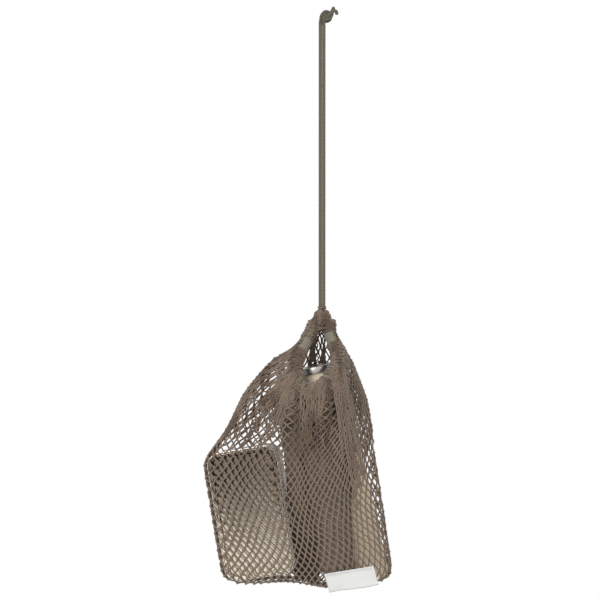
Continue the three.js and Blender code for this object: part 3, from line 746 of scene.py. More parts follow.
class STRINGBAG_OT_gathers(bpy.types.Operator):
    """Winds the bunched net round the mouth band and balls it at the neck"""

    bl_idname = "string_bag.gathers"
    bl_label = "Gathered net"

    # Loops of string on the band: from one share of the route to another, and how many.
    LOOPS = (
        ("left", LEFT_ROUTE, ((0.02, 0.3, 17), (0.5, 0.62, 9), (0.62, 0.93, 24))),
        ("right", RIGHT_ROUTE, ((0.02, 0.15, 9), (0.36, 0.5, 10), (0.5, 0.93, 28))),
    )
    LIP_LOOPS = ((0.03, 0.97, 34),)
    # Hanging tufts: name, route, span of it, count, fall, lean to the right, body. A fall and a
    # lean are the least and the most, in millimetres. The curtain hangs from the lip over the bag,
    # on no body.
    TUFTS = (
        ("tufts_lip", LIP_ROUTE, (0, 1), 52, (9, 30), (-5, 5), "lip"),
        ("tufts_left", LEFT_ROUTE, (0.48, 0.9), 84, (14, 62), (-58, -2), "bag"),
        ("tufts_left_low", LEFT_ROUTE, (0.66, 0.9), 34, (30, 74), (-18, 12), "bag"),
        ("tufts_right", RIGHT_ROUTE, (0.45, 0.88), 60, (12, 58), (0, 26), "bag"),
        ("veil_left", LEFT_ROUTE, (0.02, 0.3), 13, (26, 80), (-9, 9), "bag"),
        ("veil_right", RIGHT_ROUTE, (0.02, 0.3), 13, (26, 80), (-9, 9), "bag"),
        ("tufts_curtain", LIP_ROUTE, (0, 1), 64, (20, 90), (-14, 18), None),
        ("tufts_side", RIGHT_ROUTE, (0.5, 0.88), 44, (50, 170), (20, 104), "bag"),
        ("tufts_shoulder", LEFT_ROUTE, (0.5, 0.88), 26, (60, 110), (-84, -30), "bag"),
    )
    PLEATS = 5  # folds of the net in one span
    BEFORE, BEHIND = -0.02, 0.06  # which side of the load a tuft is laid on
    LOOSE = (
        (-5, -4, 3), (-10, -5, 1), (-13.5, -5, -4), (-13, -5, -9.5),
        (-10, -5, -12), (-8, -5, -7), (-6.5, -5, -2),
    )

    def execute(self, context):
        bag = context.scene.string_bag
        draw = random.Random(11)
        for side, route, spans in self.LOOPS:
            nodes = [f"gather_{side}_{part}" for part in ("upper", "middle", "lower")]
            self.wind(f"gathers_{side}", route, spans, bag, draw, "bag", nodes)
        lips = [f"gather_lip_{part}" for part in ("left", "middle", "right")]
        self.wind("gathers_lip", LIP_ROUTE, self.LIP_LOOPS, bag, draw, "lip", lips)
        for name, *shape, body in self.TUFTS:
            runs = self.tufts(name.startswith("veil"), *shape, bag, draw)
            mesh = strings(runs, bag.string_width, closed=True)
            piece = add_piece(name, mesh, "net", body)
            if not body:
                hang_from_lip(piece)
        self.neck(bag, draw)
        return {"FINISHED"}

    def tufts(self, behind, route, span, count, drops, leans, bag, draw):
        """Narrow meshes that hang drawn together from the band, over the net before or behind."""
        skin, runs = Skin(), []
        side = Vector((0, self.BEHIND if behind else self.BEFORE, 0))
        for _ in range(count):
            pleat = (draw.randrange(self.PLEATS) + 0.5 + draw.gauss(0, 0.2)) / self.PLEATS
            start = route.at(span[0] + (span[1] - span[0]) * pleat)
            start += Vector((0, 0, bag.band_width * 0.4))
            drop = (drops[0] + (drops[1] - drops[0]) * draw.uniform(0, 1) ** 1.7) * MM
            lean = (leans[0] + (leans[1] - leans[0]) * draw.uniform(0, 1)) * drop / drops[1]
            width, proud = draw.uniform(1.6, 3.4) * MM, draw.uniform(1.5, 6) * MM
            steps, pitch = max(16, 2 * round(drop / (1.5 * MM))), draw.uniform(7, 11) * MM
            points = []
            for angle in (math.tau * k / steps for k in range(steps)):
                fall = (1 - math.cos(angle)) / 2
                mesh = 0.15 + 0.85 * abs(math.sin(math.pi * fall * drop / pitch))
                half = math.copysign(min(1, 3 * abs(math.sin(angle))), math.sin(angle))
                p = start + Vector((width * mesh * half + lean * fall, 0, -drop * fall))
                p += noise.noise_vector(p * 60) * 2.4 * MM
                on = skin.onto(p + side)
                lifted = 0 if behind else (proud + bag.band_width * 0.25) * (1 - fall)
                points.append(on + skin.out(on) * (0.8 * MM + lifted))
            runs.append(even(points, draw.uniform(0.8, 1.1)))
        return runs

    def wind(self, name, route, spans, bag, draw, body, nodes):
        """Uneven loops of string that stand for the net drawn up on the band."""
        runs = []
        for start, end, count in spans:
            for k in range(count):
                share = start + (end - start) * (k + draw.uniform(0.1, 0.9)) / count
                runs.append(even(self.loop(route, share, bag, draw), draw.uniform(0.8, 1.15)))
        mesh = strings(runs, bag.string_width, closed=True)
        add_piece(name, mesh, "net", body, nodes)

    def loop(self, route, share, bag, draw):
        """One loop of string round the band, tilted and a little out of round."""
        centre, along = route.at(share), route.heading(share)
        side = along.cross(Vector((0, 1, 0))).normalized()
        up = side.cross(along)
        radius = bag.band_width / 2 + bag.string_width * draw.uniform(0, 0.6)
        tilt, phase = draw.uniform(0.5, 3.4) * MM, draw.uniform(0, math.tau)
        bulge, turn = draw.uniform(0.1, 0.8) * MM, draw.uniform(0, math.tau)
        points = []
        for k in range(16):
            angle = math.tau * k / 16
            reach = radius + bulge * math.sin(2 * angle + turn)
            points.append(
                centre
                + reach * (side * math.cos(angle) + up * math.sin(angle))
                + along * tilt * math.cos(angle + phase)
            )
        return points

    def apex(self, bag, draw):
        """String drawn round both legs together, just under the neck."""
        runs = []
        for k in range(8):
            share = 0.02 + 0.1 * k / 7
            left, right = LEFT_ROUTE.at(share), RIGHT_ROUTE.at(share)
            middle, half = (left + right) / 2, (right - left).length / 2
            wide = half + bag.band_width / 2 + draw.uniform(0.2, 1.6) * MM
            deep = bag.band_width / 2 + draw.uniform(0.4, 2.0) * MM
            tilt, turn = draw.uniform(1, 4) * MM, draw.uniform(0, math.tau)
            points = []
            for step in range(24):
                angle = math.tau * step / 24
                rise = tilt * math.cos(angle + turn)
                p = middle + Vector((wide * math.cos(angle), deep * math.sin(angle), rise))
                points.append(p + noise.noise_vector(p * 150) * 1.2 * MM)
            runs.append(even(points, draw.uniform(0.8, 1.1)))
        mesh = strings(runs, bag.string_width, closed=True)
        add_piece("gathers_apex", mesh, "net", "bag")

    def neck(self, bag, draw):
        """The net drawn together round both ends of the band, with one loose mesh beside it."""
        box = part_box("neck_gather")
        ball = (box[1] - box[0]).x / 2
        core = bmesh.new()
        place = Matrix.Translation(NECK) @ Matrix.Diagonal((0.76, 0.7, 0.8, 1))
        bmesh.ops.create_icosphere(core, subdivisions=4, radius=ball, matrix=place)
        for vert in core.verts:
            out = (vert.co - NECK).normalized()
            vert.co += out * noise.noise(vert.co * 260) * 1.1 * MM
        add_piece("neck_core", core, "band", "neck")
        runs = []
        for _ in range(34):
            axis = Vector((draw.gauss(0, 1), draw.gauss(0, 0.7), draw.gauss(0, 0.6))).normalized()
            first = axis.orthogonal().normalized()
            second = axis.cross(first)
            shift = axis * draw.uniform(-0.45, 0.45) * ball
            reach = math.sqrt(ball**2 - shift.length_squared) * 0.94
            points = [
                NECK + shift + reach * (first * math.cos(a) + second * math.sin(a))
                for a in (math.tau * k / 18 for k in range(18))
            ]
            points = [p + noise.noise_vector(p * 190 + shift * 900) * 2.6 * MM for p in points]
            runs.append(even(points, draw.uniform(0.95, 1.35)))
        mesh = strings(runs, bag.string_width, closed=True)
        add_piece("neck_gather", mesh, "net", "neck", ("neck_gather",))
        self.apex(bag, draw)
        points = through([NECK + Vector(p) * MM for p in self.LOOSE], 1.2 * MM, closed=True)
        mesh = strings([even(points, 0.8)], bag.string_width, 8, closed=True)
        add_piece("loose_mesh", mesh, "net", "bag")


# ---------------------------------------------------------------- net


def ramp(value, start, end):
    """A smooth step from 0 at start to 1 at end."""
    share = min(1, max(0, (value - start) / (end - start)))
    return share * share * (3 - 2 * share)


class Skin:
    """The shape that the loaded net is stretched over."""

    def __init__(self):
        shape = bmesh.new()
        for vert in frame["nodes"]["net_bag"].data.vertices:
            shape.verts.new(vert.co)
        bmesh.ops.remove_doubles(shape, verts=shape.verts, dist=0.05 * MM)
        bmesh.ops.convex_hull(shape, input=shape.verts)
        bmesh.ops.recalc_face_normals(shape, faces=shape.faces)
        self.tree = BVHTree.FromBMesh(shape)
        shape.free()

    def onto(self, point):
        return self.tree.find_nearest(point)[0]

    def out(self, point):
        return self.tree.find_nearest(point)[1]

    def from_inside(self, start, direction):
        return self.tree.ray_cast(start, direction)[0]


class Lattice:
    """The net's knots: rows from the mouth band to the bottom seam, staggered half a mesh."""

    WALL = 0.92  # share of the rows above the bag's bottom edge
    BUNCH = 2  # meshes that the band draws into one fold
    SHIFT = 0.05  # how far the meshes are drawn round towards the left
    # How wide a mesh lies, in millimetres, from the back round by the left, the front and the
    # right: half way up, and along the bottom.
    HIGH = (
        (0, 12), (0.1, 11), (0.18, 8.6), (0.3, 8.6), (0.465, 9), (0.485, 5.4),
        (0.575, 5.8), (0.66, 8), (0.75, 8.5), (0.8, 11), (1, 12),
    )
    LOW = (
        (0, 11), (0.25, 10), (0.3, 9.2), (0.465, 9.2), (0.5, 7.4),
        (0.575, 8), (0.62, 10), (0.75, 10), (0.8, 11), (1, 11),
    )
    HIGH_AT, LOW_AT = 0.16, 0.03  # how far above the bag's floor those widths are taken
    SETTLING = 40  # rounds of evening the tension
    RUFFLE_FOOT = NECK.z - 0.098  # above this the net also folds inwards

    def __init__(self, bag):
        self.columns, self.rows = bag.columns, bag.rows
        self.band, self.string = bag.band_width / 2, bag.string_width
        self.skin = Skin()
        seam_low, seam_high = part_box("bottom_seam")
        self.seam_y = (seam_low.y + seam_high.y) / 2
        self.seam_left, self.seam_right = seam_low.x + 0.008, seam_high.x - 0.005
        self.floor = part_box("net_bag")[0].z
        self.high = self.plan(self.HIGH, self.HIGH_AT)
        self.low = self.plan(self.LOW, self.LOW_AT)
        across, down = range(self.columns), range(self.rows + 1)
        self.knots = np.array([[self.first_place(row, at) for at in across] for row in down])
        self.settle(self.SETTLING)
        self.draw_up()

    def turn(self, row, column):
        """How far round the bag a knot is: 0 at the back, 0.25 left, 0.5 front, 0.75 right."""
        return ((column + (row % 2) / 2) / self.columns) % 1

    def plan(self, table, height):
        """Shares the meshes out round the bag at one height by how wide they lie there."""
        steps = 240
        level = self.floor + height
        line = np.array([self.out_from(k / steps, level) for k in range(steps + 1)])
        widths = np.interp((np.arange(steps) + 0.5) / steps, *zip(*table))
        shares = np.linalg.norm(np.diff(line, axis=0), axis=1) / widths
        return np.concatenate([[0], np.cumsum(shares)]) / shares.sum()

    def slack(self, turn):
        """How much closer the rows lie at the mouth than at the foot, most on the bottle's side."""
        front = ramp(turn, 0.36, 0.5) - ramp(turn, 0.85, 0.97)
        return 0.25 * front - 0.16 + 0.65 * math.exp(-(((turn - 0.7) / 0.13) ** 2))

    def angle(self, turn, share):
        """The direction in which a mesh lies: even round the mouth, as planned lower down."""
        around, even_steps = (turn + self.SHIFT) % 1, np.linspace(0, 1, len(self.high))
        high, low = (np.interp(around, plan, even_steps) for plan in (self.high, self.low))
        planned = high + (low - high) * ramp(share, 0.5, 0.95)
        late = 0.15 + 0.15 * math.cos(math.tau * turn)
        return turn + ((planned - turn + 0.5) % 1 - 0.5) * ramp(share, late * 0.7, 0.4 + late)

    def out_from(self, angle, z):
        """The place on the load in a direction, as a share of a turn, at one height."""
        fall = min(1, max(0, (NECK.z - z) / 0.25))
        start = Vector((-0.006 - 0.02 * fall, 0, min(z, NECK.z - 0.02)))
        way = Vector((-math.sin(math.tau * angle) * 0.105, math.cos(math.tau * angle) * 0.05, 0))
        return self.skin.from_inside(start, way)

    def rim(self, turn):
        """Where the top row is tied to the mouth band, on its outer side."""
        centre = mouth_at(turn)
        away = (centre - (LIP_LEFT + LIP_RIGHT + 2 * NECK) / 4).normalized()
        out = self.skin.out(centre)
        return centre + (0.75 * out + 0.65 * away).normalized() * self.band

    def seam(self, turn):
        """Where the last row is closed: the left and right edges meet the ends of the seam."""
        around = (turn + self.SHIFT) % 1
        left, right = np.interp((0.25, 0.75), np.linspace(0, 1, len(self.low)), self.low)
        if left <= around <= right:
            share = (around - left) / (right - left)
        else:
            share = ((left - around) % 1) / (1 - right + left)
        even_x = self.seam_left + (self.seam_right - self.seam_left) * share
        edge_x = min(self.seam_right, max(self.seam_left, self.wall(turn, 1).x))
        return self.under(even_x * 0.45 + edge_x * 0.55)

    def under(self, x):
        """The lowest place of the bag at x, on the line of its seam."""
        start = Vector((x, self.seam_y, self.floor + 0.05))
        return self.skin.from_inside(start, Vector((0, 0, -1)))

    def wall(self, turn, share):
        """A place on the bag's side, from the band at share 0 to the bottom edge at 1."""
        rim = self.rim(turn)
        edge = self.floor + 0.012
        return self.out_from(self.angle(turn, share), rim.z + (edge - rim.z) * share)

    def first_place(self, row, column):
        """Where a knot lies before the net is settled."""
        turn, share = self.turn(row, column), row / self.rows
        if row == 0:
            return self.rim(turn)
        if row == self.rows:
            return self.seam(turn)
        slack = self.slack(turn)
        share = math.expm1(slack * share) / math.expm1(slack)
        if share <= self.WALL:
            return self.wall(turn, share / self.WALL)
        edge = self.wall(turn, 1)
        return self.skin.onto(edge.lerp(self.seam(turn), (share - self.WALL) / (1 - self.WALL)))

    def neighbours(self, rows):
        """The four knots that each knot of those rows is tied to."""
        found = []
        for step in (-1, 1):
            for side in (0, 1):
                shift = [-side + (row % 2 == 0) for row in rows]
                near = [np.roll(self.knots[row + step], s, 0) for row, s in zip(rows, shift)]
                found.append(np.array(near))
        return found

    def settle(self, times):
        """Evens the tension: each knot keeps its share between its neighbours, on the load."""
        inner = list(range(1, self.rows))
        up_left, up_right, down_left, down_right = self.neighbours(inner)
        here = self.knots[1:-1]
        rows = (up_left, up_right), (down_left, down_right)
        sides = (up_left, down_left), (up_right, down_right)
        above, below, left, right = (
            np.linalg.norm((a + b) / 2 - here, axis=2, keepdims=True) + 0.1 * MM
            for a, b in (*rows, *sides)
        )
        up, side = below / (above + below), left / (left + right)
        for _ in range(times):
            up_left, up_right, down_left, down_right = self.neighbours(inner)
            above = up_left * (1 - side) + up_right * side
            below = down_left * (1 - side) + down_right * side
            moved = self.knots[1:-1] * 0.45 + (above * up + below * (1 - up)) * 0.55
            for i, row in enumerate(moved):
                for j, point in enumerate(row):
                    self.knots[i + 1, j] = self.skin.onto(Vector(point))

    def draw_up(self):
        """Bunches the top rows into folds, lifts them over the band and unsettles every knot."""
        for row in range(self.rows + 1):
            near = math.exp(-((row / (self.rows * 0.22)) ** 2))
            swell = math.exp(-((row / (self.rows * 0.34)) ** 2)) * min(1, row / 4)
            over_band = self.band * 0.3 * math.exp(-((row / 2.4) ** 2))
            steady = min(1, row / 2, (self.rows - row) / 2)
            plain = self.knots[row].copy()
            for column in range(self.columns):
                turn, along = self.turn(row, column), column + (row % 2) / 2
                place = Vector(plain[column])
                out = self.skin.out(place)
                group = along // self.BUNCH * self.BUNCH
                picks = [int(group + k) % self.columns for k in range(self.BUNCH)]
                heart = Vector(plain[picks].mean(0))
                front = max(0, -math.cos(math.tau * turn))
                place = place.lerp(heart, 0.72 * near * (0.4 + 0.6 * front))
                fold = math.cos(math.tau * along / (2 * self.BUNCH))
                raised = self.string * 0.6 + over_band
                ruffle = 8 * MM * swell * front**2 * (0.3 + 0.7 * fold)
                raised += ruffle if place.z > self.RUFFLE_FOOT else max(0, ruffle)
                drift = noise.noise_vector(place * 70) * 1.6 * MM
                drift -= out * drift.dot(out)
                place += out * raised * (1 if row < self.rows else 0.3) + drift * steady
                place.x += self.billow(turn, place.z) * steady
                self.knots[row, column] = self.ease(place)

    def billow(self, turn, z):
        """How far the slack net stands out beside the mouth, on the left and on the right."""
        drop = NECK.z - z
        on_left = math.exp(-(((turn - 0.24) / 0.1) ** 2))
        on_right = math.exp(-(((turn - 0.78) / 0.09) ** 2))
        left = ramp(drop, 0.034, 0.048) * ramp(drop, 0.14, 0.075) * on_left
        right = ramp(drop, 0.005, 0.03) * ramp(drop, 0.19, 0.09) * on_right
        return 6 * MM * right - 13 * MM * left

    def ease(self, point):
        """Pulls the net in against the left leg, and up where it hangs free under the load."""
        high = min(1, max(0, (point.z - NECK.z + 0.05) / 0.024))
        route = LEFT_ROUTE.table
        edge = route[int(np.abs(route[:, 2] - point.z).argmin()), 0] - self.band
        if point.x < edge:
            point.x += (edge - point.x) * high * high * (3 - 2 * high)
        low = min(1, max(0, (self.floor + 0.03 - point.z) / 0.03))
        point.z += 7 * MM * low * math.exp(-(((point.x + 0.042) / 0.036) ** 2))
        return point

    def strand(self, column, lean):
        """The knots of one string that leans left or right all the way down."""
        j, line = column, []
        for row in range(self.rows + 1):
            line.append((row, j % self.columns))
            if lean > 0 and row % 2:
                j += 1
            if lean < 0 and row % 2 == 0:
                j -= 1
        return line

    def between(self, first, second):
        """Points of one string from knot to knot, held off the load."""
        a, b = Vector(self.knots[first]), Vector(self.knots[second])
        points = []
        for share in (0, 0.13, 0.5, 0.87):
            p = a.lerp(b, share)
            if share and p.z < NECK.z - 0.05 and p.z > self.floor + 0.03:
                on, out = self.skin.onto(p), self.skin.out(p)
                p += out * max(0, self.string * 0.6 - (p - on).dot(out))
            points.append(p)
        return points


class STRINGBAG_OT_net(bpy.types.Operator):
    """Knots the net over its load, from the mouth band to the bottom seam"""

    bl_idname = "string_bag.net"
    bl_label = "Net"

    LIP_ROWS = 12  # rows that hang from the lip, and how far round they reach
    LIP_TURNS = (0.395, 0.605)
    THICKNESS = (1.75, 1.05, 0.92, 1.05)  # of a string: at a knot, beside it, half way, beside

    def execute(self, context):
        bag = context.scene.string_bag
        lattice = Lattice(bag)
        runs = {"front": [], "back": [], "lip": []}
        for column in range(lattice.columns):
            for lean in (-1, 1):
                self.cut(lattice, lattice.strand(column, lean), runs)
        front, back, lip = (strings(pile, bag.string_width) for pile in runs.values())
        add_piece("net_front", front, "net", "bag", ("net_bag",))
        add_piece("net_back", back, "net", "bag")
        hang_from_lip(add_piece("net_lip_fall", lip, "net"))
        self.seam(lattice, bag)
        return {"FINISHED"}

    def home(self, lattice, knot):
        """The piece of net that a knot is part of."""
        row, column = knot
        turn = lattice.turn(row, column)
        if row < self.LIP_ROWS and self.LIP_TURNS[0] < turn < self.LIP_TURNS[1]:
            return "lip"
        return "front" if 0.25 <= turn <= 0.75 else "back"

    def cut(self, lattice, line, runs):
        """Splits one string where it passes from one piece of net to the next."""
        points, thick, home = [], [], None
        for first, second in zip(line, line[1:]):
            here = self.home(lattice, first)
            if home and here != home:
                self.close(points, thick, first, lattice, runs[home])
                points, thick = [], []
            home = here
            points += lattice.between(first, second)
            thick += self.THICKNESS
        self.close(points, thick, line[-1], lattice, runs[home])

    def close(self, points, thick, knot, lattice, pile):
        pile.append(([*points, Vector(lattice.knots[knot])], [*thick, self.THICKNESS[0]]))

    def seam(self, lattice, bag):
        """The closing line along the bottom: a cord of string with overcast stitches."""
        left, right = lattice.seam_left - 0.004, lattice.seam_right + 0.002
        parts, stitches = 89, 40
        line = []
        for k in range(parts + 1):
            p = lattice.under(left + (right - left) * k / parts)
            line.append(lattice.ease(p + lattice.skin.out(p) * 1.1 * MM))
        twist = []
        for k in range(parts * 4):
            share = k / (parts * 4)
            first = int(share * parts)
            p = line[first].lerp(line[min(parts, first + 1)], share * parts % 1)
            angle = share * math.tau * stitches
            twist.append(p + Vector((0, math.cos(angle), math.sin(angle))) * 1.5 * MM)
        mesh = strings([even(line, 1.1), even(twist, 0.7)], bag.string_width)
        add_piece("bottom_seam", mesh, "net", "bag", ("bottom_seam",))


# ---------------------------------------------------------------- bottle


class STRINGBAG_OT_bottle(bpy.types.Operator):
    """Turns the vacuum bottle and its cap"""

    bl_idname = "string_bag.bottle"
    bl_label = "Bottle"

    # Turned outlines in millimetres, from the widest radius inwards.
    FOOT = (10, 1.6), (9, 0.2), (3.6, 0), (1.4, 1.0), (0.3, 2.6), (0, 5)
    CAP_TOP = (6, 1.3), (4.4, 0.5), (3.4, 0), (1.6, 0.05), (0.5, 0.6), (0, 1.8)
    CAP_EDGE = (0, 1.6), (0.35, 1.2), (0.35, 0.9), (0, 0.5), (0.1, 0)
    SHOULDER, HOLLOW = 38 * MM, 1.6 * MM
    WALL, CAP_WALL = 0.8 * MM, 1.6 * MM

    def execute(self, context):
        bag = context.scene.string_bag
        axis = Vector(JOINTS["cap_turn"]["axis"]).normalized()
        foot = Vector(JOINTS["cap_turn"]["pos_m"]) - axis * bag.bottle_height
        place = Matrix.Translation(foot) @ axis.to_track_quat("Z", "Y").to_matrix().to_4x4()
        wide, tall = bag.bottle_width / 2, bag.bottle_height
        cap, collar = bag.cap_width / 2, tall - bag.cap_height - 1 * MM
        profile = self.shell(wide, cap, tall - bag.cap_height - self.SHOULDER, collar)
        shell = lathe(profile, place)
        sharpen(add_piece("bottle_body", shell, "cream", "bag", ("bottle_body",)))
        self.cap(cap, tall, collar, place)
        dress("bottle_liner", "cap")
        dress("cap_seal", "seal")
        return {"FINISHED"}

    def shell(self, wide, neck, shoulder, collar):
        """The bottle's outside from foot to collar, and back down its inside."""
        start = shoulder - 3 * MM
        outer = [(wide - inset * MM, height * MM) for inset, height in self.FOOT]
        outer += [(wide, shoulder * 0.5), (wide, start)]
        for share in (k / 12 for k in range(1, 12)):
            ease = share * share * (3 - 2 * share)
            outer.append((wide + (neck + 1.0 * MM - wide) * ease, start + share * 36 * MM))
        outer += [(neck + 0.4 * MM, collar - 3.4 * MM), (neck, collar - 2.6 * MM)]
        outer.append((neck, collar - 0.4 * MM))
        inner_foot = self.HOLLOW + self.WALL
        inner = [(r - self.WALL, max(h, inner_foot)) for r, h in reversed(outer)]
        rim = [(neck - 0.3 * MM, collar), (neck - self.WALL, collar)]
        return [(0, self.HOLLOW), *outer, *rim, *inner, (0, inner_foot)]

    def cap(self, wide, tall, collar, place):
        """A steel cap with a rolled edge and a shallow dished top."""
        low, under = collar + 0.4 * MM, tall - self.CAP_WALL - 0.1 * MM
        profile = [
            (0, tall - 1.5 * MM),
            *((wide - inset * MM, tall - drop * MM) for inset, drop in self.CAP_TOP),
            *((wide - inset * MM, low + rise * MM) for inset, rise in self.CAP_EDGE),
            (wide - self.CAP_WALL, low),
            (wide - self.CAP_WALL, under),
            (0, under),
        ]
        cap = lathe(profile, place)
        sharpen(add_piece("bottle_cap", cap, "cap", "cap", ("bottle_cap",)), 40)


# ---------------------------------------------------------------- tin


class STRINGBAG_OT_tin(bpy.types.Operator):
    """Presses the food tin: a deep base and a lid with a raised edge"""

    bl_idname = "string_bag.tin"
    bl_label = "Food tin"

    CORNER = 16 * MM
    LEAN, YAW = math.radians(9.5), math.radians(8)
    WIDTH, HEIGHT, DEPTH = 84 * MM, 154 * MM, 54 * MM
    CENTRE = Vector((-82 * MM, 0, NECK.z - 232.5 * MM))
    RINGS = (4.6, 0), (1.6, -2.0), (4.4, 0), (1.2, 0.35)  # pressed in: width and height, mm
    BEVEL = {"profile": 0.5, "affect": "EDGES", "material": -1}

    def execute(self, context):
        bag = context.scene.string_bag
        turned = Matrix.Rotation(-self.YAW, 4, "Z") @ Matrix.Rotation(-self.LEAN, 4, "Y")
        self.place = Matrix.Translation(self.CENTRE) @ turned
        front, back = -self.DEPTH / 2, self.DEPTH / 2
        slip = bag.sheet + 0.3 * MM
        lid = self.pan(0, front, front + bag.lid_depth, bag.sheet, 1)
        sharpen(add_piece("tin_lid", lid, "tin", "bag", ("tin_lid",)), 50)
        rim = front + bag.sheet + 2 * MM
        base = self.pan(slip, rim, back, bag.sheet, -1)
        sharpen(add_piece("tin_base", base, "tin_base", "bag", ("tin_base",)), 50)
        self.hem("tin_lid_hem", front + bag.lid_depth - 0.7 * MM)
        self.hem("tin_lid_bead", front + 2.4 * MM)
        dress("tin_seal", "seal")
        return {"FINISHED"}

    def pan(self, inset, start, end, sheet, facing):
        """A rounded pan from start to end; facing 1 closes it in front, -1 behind."""
        shape = bmesh.new()
        middle = Matrix.Translation((0, (start + end) / 2, 0))
        sizes = Matrix.Diagonal((self.WIDTH - 2 * inset, end - start, self.HEIGHT - 2 * inset, 1))
        bmesh.ops.create_cube(shape, size=1, matrix=middle @ sizes)
        corners = []
        for edge in shape.edges:
            first, second = (vert.co for vert in edge.verts)
            if abs((first - second).normalized().y) > 0.9:
                corners.append(edge)
        bmesh.ops.bevel(shape, geom=corners, offset=self.CORNER - inset, segments=10, **self.BEVEL)
        closed_y, open_y = (start, end) if facing > 0 else (end, start)
        lid = min(shape.faces, key=lambda f: abs(f.calc_center_median().y - closed_y))
        gone = min(shape.faces, key=lambda f: abs(f.calc_center_median().y - open_y))
        bmesh.ops.delete(shape, geom=[gone], context="FACES")
        outline = list(lid.edges)
        for width, depth in self.RINGS:
            bmesh.ops.inset_region(shape, faces=[lid], thickness=width * MM, use_even_offset=True)
            bmesh.ops.translate(shape, vec=(0, -depth * MM * facing, 0), verts=lid.verts)
        bmesh.ops.bevel(shape, geom=outline, offset=2.2 * MM, segments=4, **self.BEVEL)
        bmesh.ops.recalc_face_normals(shape, faces=shape.faces)
        if lid.is_valid and lid.normal.y * facing > 0:
            bmesh.ops.reverse_faces(shape, faces=shape.faces)
        bmesh.ops.solidify(shape, geom=shape.faces[:], thickness=sheet)
        bmesh.ops.recalc_face_normals(shape, faces=shape.faces)
        bmesh.ops.transform(shape, matrix=self.place, verts=shape.verts)
        return shape

    def hem(self, name, y):
        """A rolled edge round the lid at one depth."""
        wide, tall = self.WIDTH / 2 - self.CORNER, self.HEIGHT / 2 - self.CORNER
        points = []
        for quarter, (sx, sz) in enumerate(((1, 1), (-1, 1), (-1, -1), (1, -1))):
            for k in range(9):
                angle = math.pi / 2 * (quarter + k / 8)
                x = sx * wide + self.CORNER * math.cos(angle)
                z = sz * tall + self.CORNER * math.sin(angle)
                points.append(self.place @ Vector((x, y, z)))
        mesh = strings([even(points)], 1.5 * MM, 10, closed=True)
        add_piece(name, mesh, "hem", "bag")


# ---------------------------------------------------------------- cloth and label


def puff(piece, pressure, most):
    """Fills a remeshed pad with cloth pressure; no point moves further than most."""
    before = np.array([v.co for v in piece.data.vertices])
    cloth = piece.modifiers.new("fill", "CLOTH")
    cloth.settings.use_pressure = True
    cloth.settings.uniform_pressure_force = pressure
    cloth.settings.quality = 5
    cloth.settings.effector_weights.gravity = 0
    cloth.collision_settings.use_collision = False
    scene, frames = bpy.context.scene, 14
    for step in range(1, frames + 1):
        scene.frame_set(step)
    ready = piece.evaluated_get(bpy.context.evaluated_depsgraph_get())
    after = np.array([v.co for v in ready.data.vertices])
    piece.modifiers.remove(cloth)
    scene.frame_set(1)
    moved = after - before
    reach = np.linalg.norm(moved, axis=1, keepdims=True)
    nothing = 1e-9
    moved *= np.minimum(1, most / np.maximum(reach, nothing))
    piece.data.vertices.foreach_set("co", (before + moved).ravel())


class STRINGBAG_OT_towel(bpy.types.Operator):
    """Folds the cloth that stands between the tin and the bottle"""

    bl_idname = "string_bag.towel"
    bl_label = "Folded cloth"

    VOXEL = 3.6 * MM
    KEPT_IN = 3.5 * MM  # how far the cloth stays inside the net
    FOLDS = 13 * MM  # from one long fold to the next

    def execute(self, context):
        low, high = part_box("folded_cloth")
        centre = (low + high) / 2
        shape = bmesh.new()
        shape.from_mesh(frame["nodes"]["folded_cloth"].data)
        bmesh.ops.remove_doubles(shape, verts=shape.verts, dist=0.05 * MM)
        skin = Skin()
        for vert in shape.verts:
            # A little smaller, wider in front on the right, and with a corner tucked low left,
            # where the towelling is painted darker as shade.
            vert.co = centre + (vert.co - centre) * 0.985
            foot = ramp(vert.co.z, low.z + 0.05, low.z + 0.01)
            rise = (vert.co.z - low.z) / (high.z - low.z)
            edge = high.x + (0.012 - high.x) * rise
            wider = (10 + 24 * ramp(rise, 0.1, 0.7)) * MM
            vert.co.x += wider * ramp(vert.co.x, edge - 0.03, edge) * ramp(vert.co.y, 0, -0.02)
            vert.co.z -= 19 * MM * foot * ramp(vert.co.x, 0.006, -0.01)
            vert.co.x -= 16 * MM * foot * ramp(vert.co.x, -0.008, -0.03)
            on, out = skin.onto(vert.co), skin.out(vert.co)
            vert.co -= out * max(0, (vert.co - on).dot(out) + self.KEPT_IN)
        towel = add_piece("folded_cloth", shape, "towel", replaces=("folded_cloth",))
        remesh = towel.modifiers.new("even", "REMESH")
        remesh.mode, remesh.voxel_size = "VOXEL", self.VOXEL
        ready = towel.evaluated_get(context.evaluated_depsgraph_get())
        mesh = bpy.data.meshes.new_from_object(ready)
        towel.modifiers.clear()
        mesh.materials.clear()
        mesh.materials.append(finish("towel"))
        towel.data = mesh
        mesh.shade_smooth()
        puff(towel, 3.0, 3 * MM)
        self.fold(mesh, low, high)
        detail = towel.modifiers.new("soften", "SUBSURF")
        detail.levels = detail.render_levels = 1
        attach(towel, "bag")
        return {"FINISHED"}

    def fold(self, mesh, low, high):
        """Long soft folds that run with the cloth's height, and a few slow dents."""
        lean = 0.031 / (high.z - low.z)
        for vert in mesh.vertices:
            across = vert.co.x + lean * (vert.co.z - low.z) * 0.9
            sway = 5 * MM * noise.noise(Vector((0, 0, vert.co.z * 16)))
            crease = math.sin(math.tau * (across + sway) / self.FOLDS)
            depth = (0.9 * crease - 0.5 * crease**2) * MM + 1.6 * MM * noise.noise(vert.co * 34)
            vert.co += vert.normal * depth


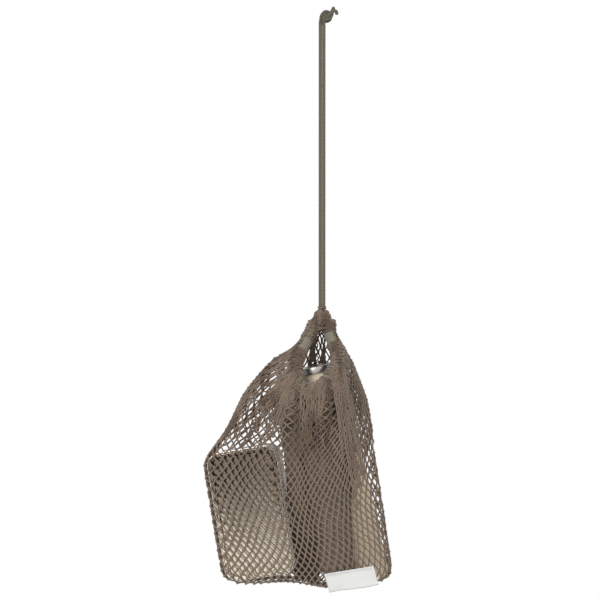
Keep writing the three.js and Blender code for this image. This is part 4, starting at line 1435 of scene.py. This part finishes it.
class STRINGBAG_OT_label(bpy.types.Operator):
    """Sews the bare woven label to the net by its top edge"""

    bl_idname = "string_bag.label"
    bl_label = "Label"

    THICK = 0.7 * MM
    STAND_OFF = 2.1 * MM  # in front of its hinge, clear of the net's knots
    FACING = Vector((0.22, -1, -0.2)).normalized()

    def execute(self, context):
        bag = context.scene.string_bag
        joint = JOINTS["label_flap"]
        along, facing = -Vector(joint["axis"]).normalized(), self.FACING
        down = along.cross(facing)
        wide, tall = bag.label_width, bag.label_height
        top = Vector(joint["pos_m"]) + down * 0.3 * MM
        shape = bmesh.new()
        bmesh.ops.create_grid(shape, x_segments=36, y_segments=16, size=0.5)
        for vert in shape.verts:
            u, v = vert.co.x, 0.5 - vert.co.y
            wave = math.sin(u * 7.5 + 0.6) * 1.1 * MM + math.sin(u * 17 + v * 3) * 0.35 * MM
            curl = 2.2 * MM * max(0, v - 0.75) * 4 * u
            slip = (4.5 * v - 3.5) * MM
            flat = top + along * (u * wide + slip) + down * v * tall
            vert.co = flat + facing * (wave * v + curl + self.STAND_OFF)
        bmesh.ops.solidify(shape, geom=shape.faces[:], thickness=self.THICK)
        bmesh.ops.recalc_face_normals(shape, faces=shape.faces)
        label = add_piece("label", shape, "label", "label", ("label",))
        stitches, proud = [], facing * (self.STAND_OFF + 0.05 * MM)
        for row in (0.06, 0.12):
            for k in range(17):
                start = top + along * (wide * (-0.46 + 0.055 * k) - 3.2 * MM) + down * row * tall
                points = []
                for t in (0, 0.25, 0.5, 0.75, 1):
                    bow = facing * 0.75 * MM * math.sin(math.pi * t)
                    points.append(start + along * wide * 0.034 * t + bow + proud)
                stitches.append(even(points))
        mesh = strings(stitches, 0.5 * MM)
        thread = add_piece("label_stitches", mesh, "thread", "label")
        return {"FINISHED"}


# ---------------------------------------------------------------- panel and run

STEPS = (
    STRINGBAG_OT_stage,
    STRINGBAG_OT_cord,
    STRINGBAG_OT_band,
    STRINGBAG_OT_gathers,
    STRINGBAG_OT_net,
    STRINGBAG_OT_bottle,
    STRINGBAG_OT_tin,
    STRINGBAG_OT_towel,
    STRINGBAG_OT_label,
)


class STRINGBAG_PT_panel(bpy.types.Panel):
    """The string bag's sizes, colours and pieces"""

    bl_idname = "STRINGBAG_PT_panel"
    bl_label = "String Bag"
    bl_space_type = "VIEW_3D"
    bl_region_type = "UI"
    bl_category = "String Bag"

    def draw(self, context):
        for name in StringBagSettings.__annotations__:
            self.layout.prop(context.scene.string_bag, name)
        for step in STEPS:
            self.layout.operator(step.bl_idname)


def register():
    for item in (StringBagSettings, *STEPS, STRINGBAG_PT_panel):
        bpy.utils.register_class(item)
    bpy.types.Scene.string_bag = bpy.props.PointerProperty(type=StringBagSettings)


def unregister():
    del bpy.types.Scene.string_bag
    for item in (STRINGBAG_PT_panel, *reversed(STEPS), StringBagSettings):
        bpy.utils.unregister_class(item)


def main():
    register()
    for step in STEPS:
        getattr(bpy.ops.string_bag, step.bl_idname.split(".")[1])()


if __name__ == "__main__":
    main()
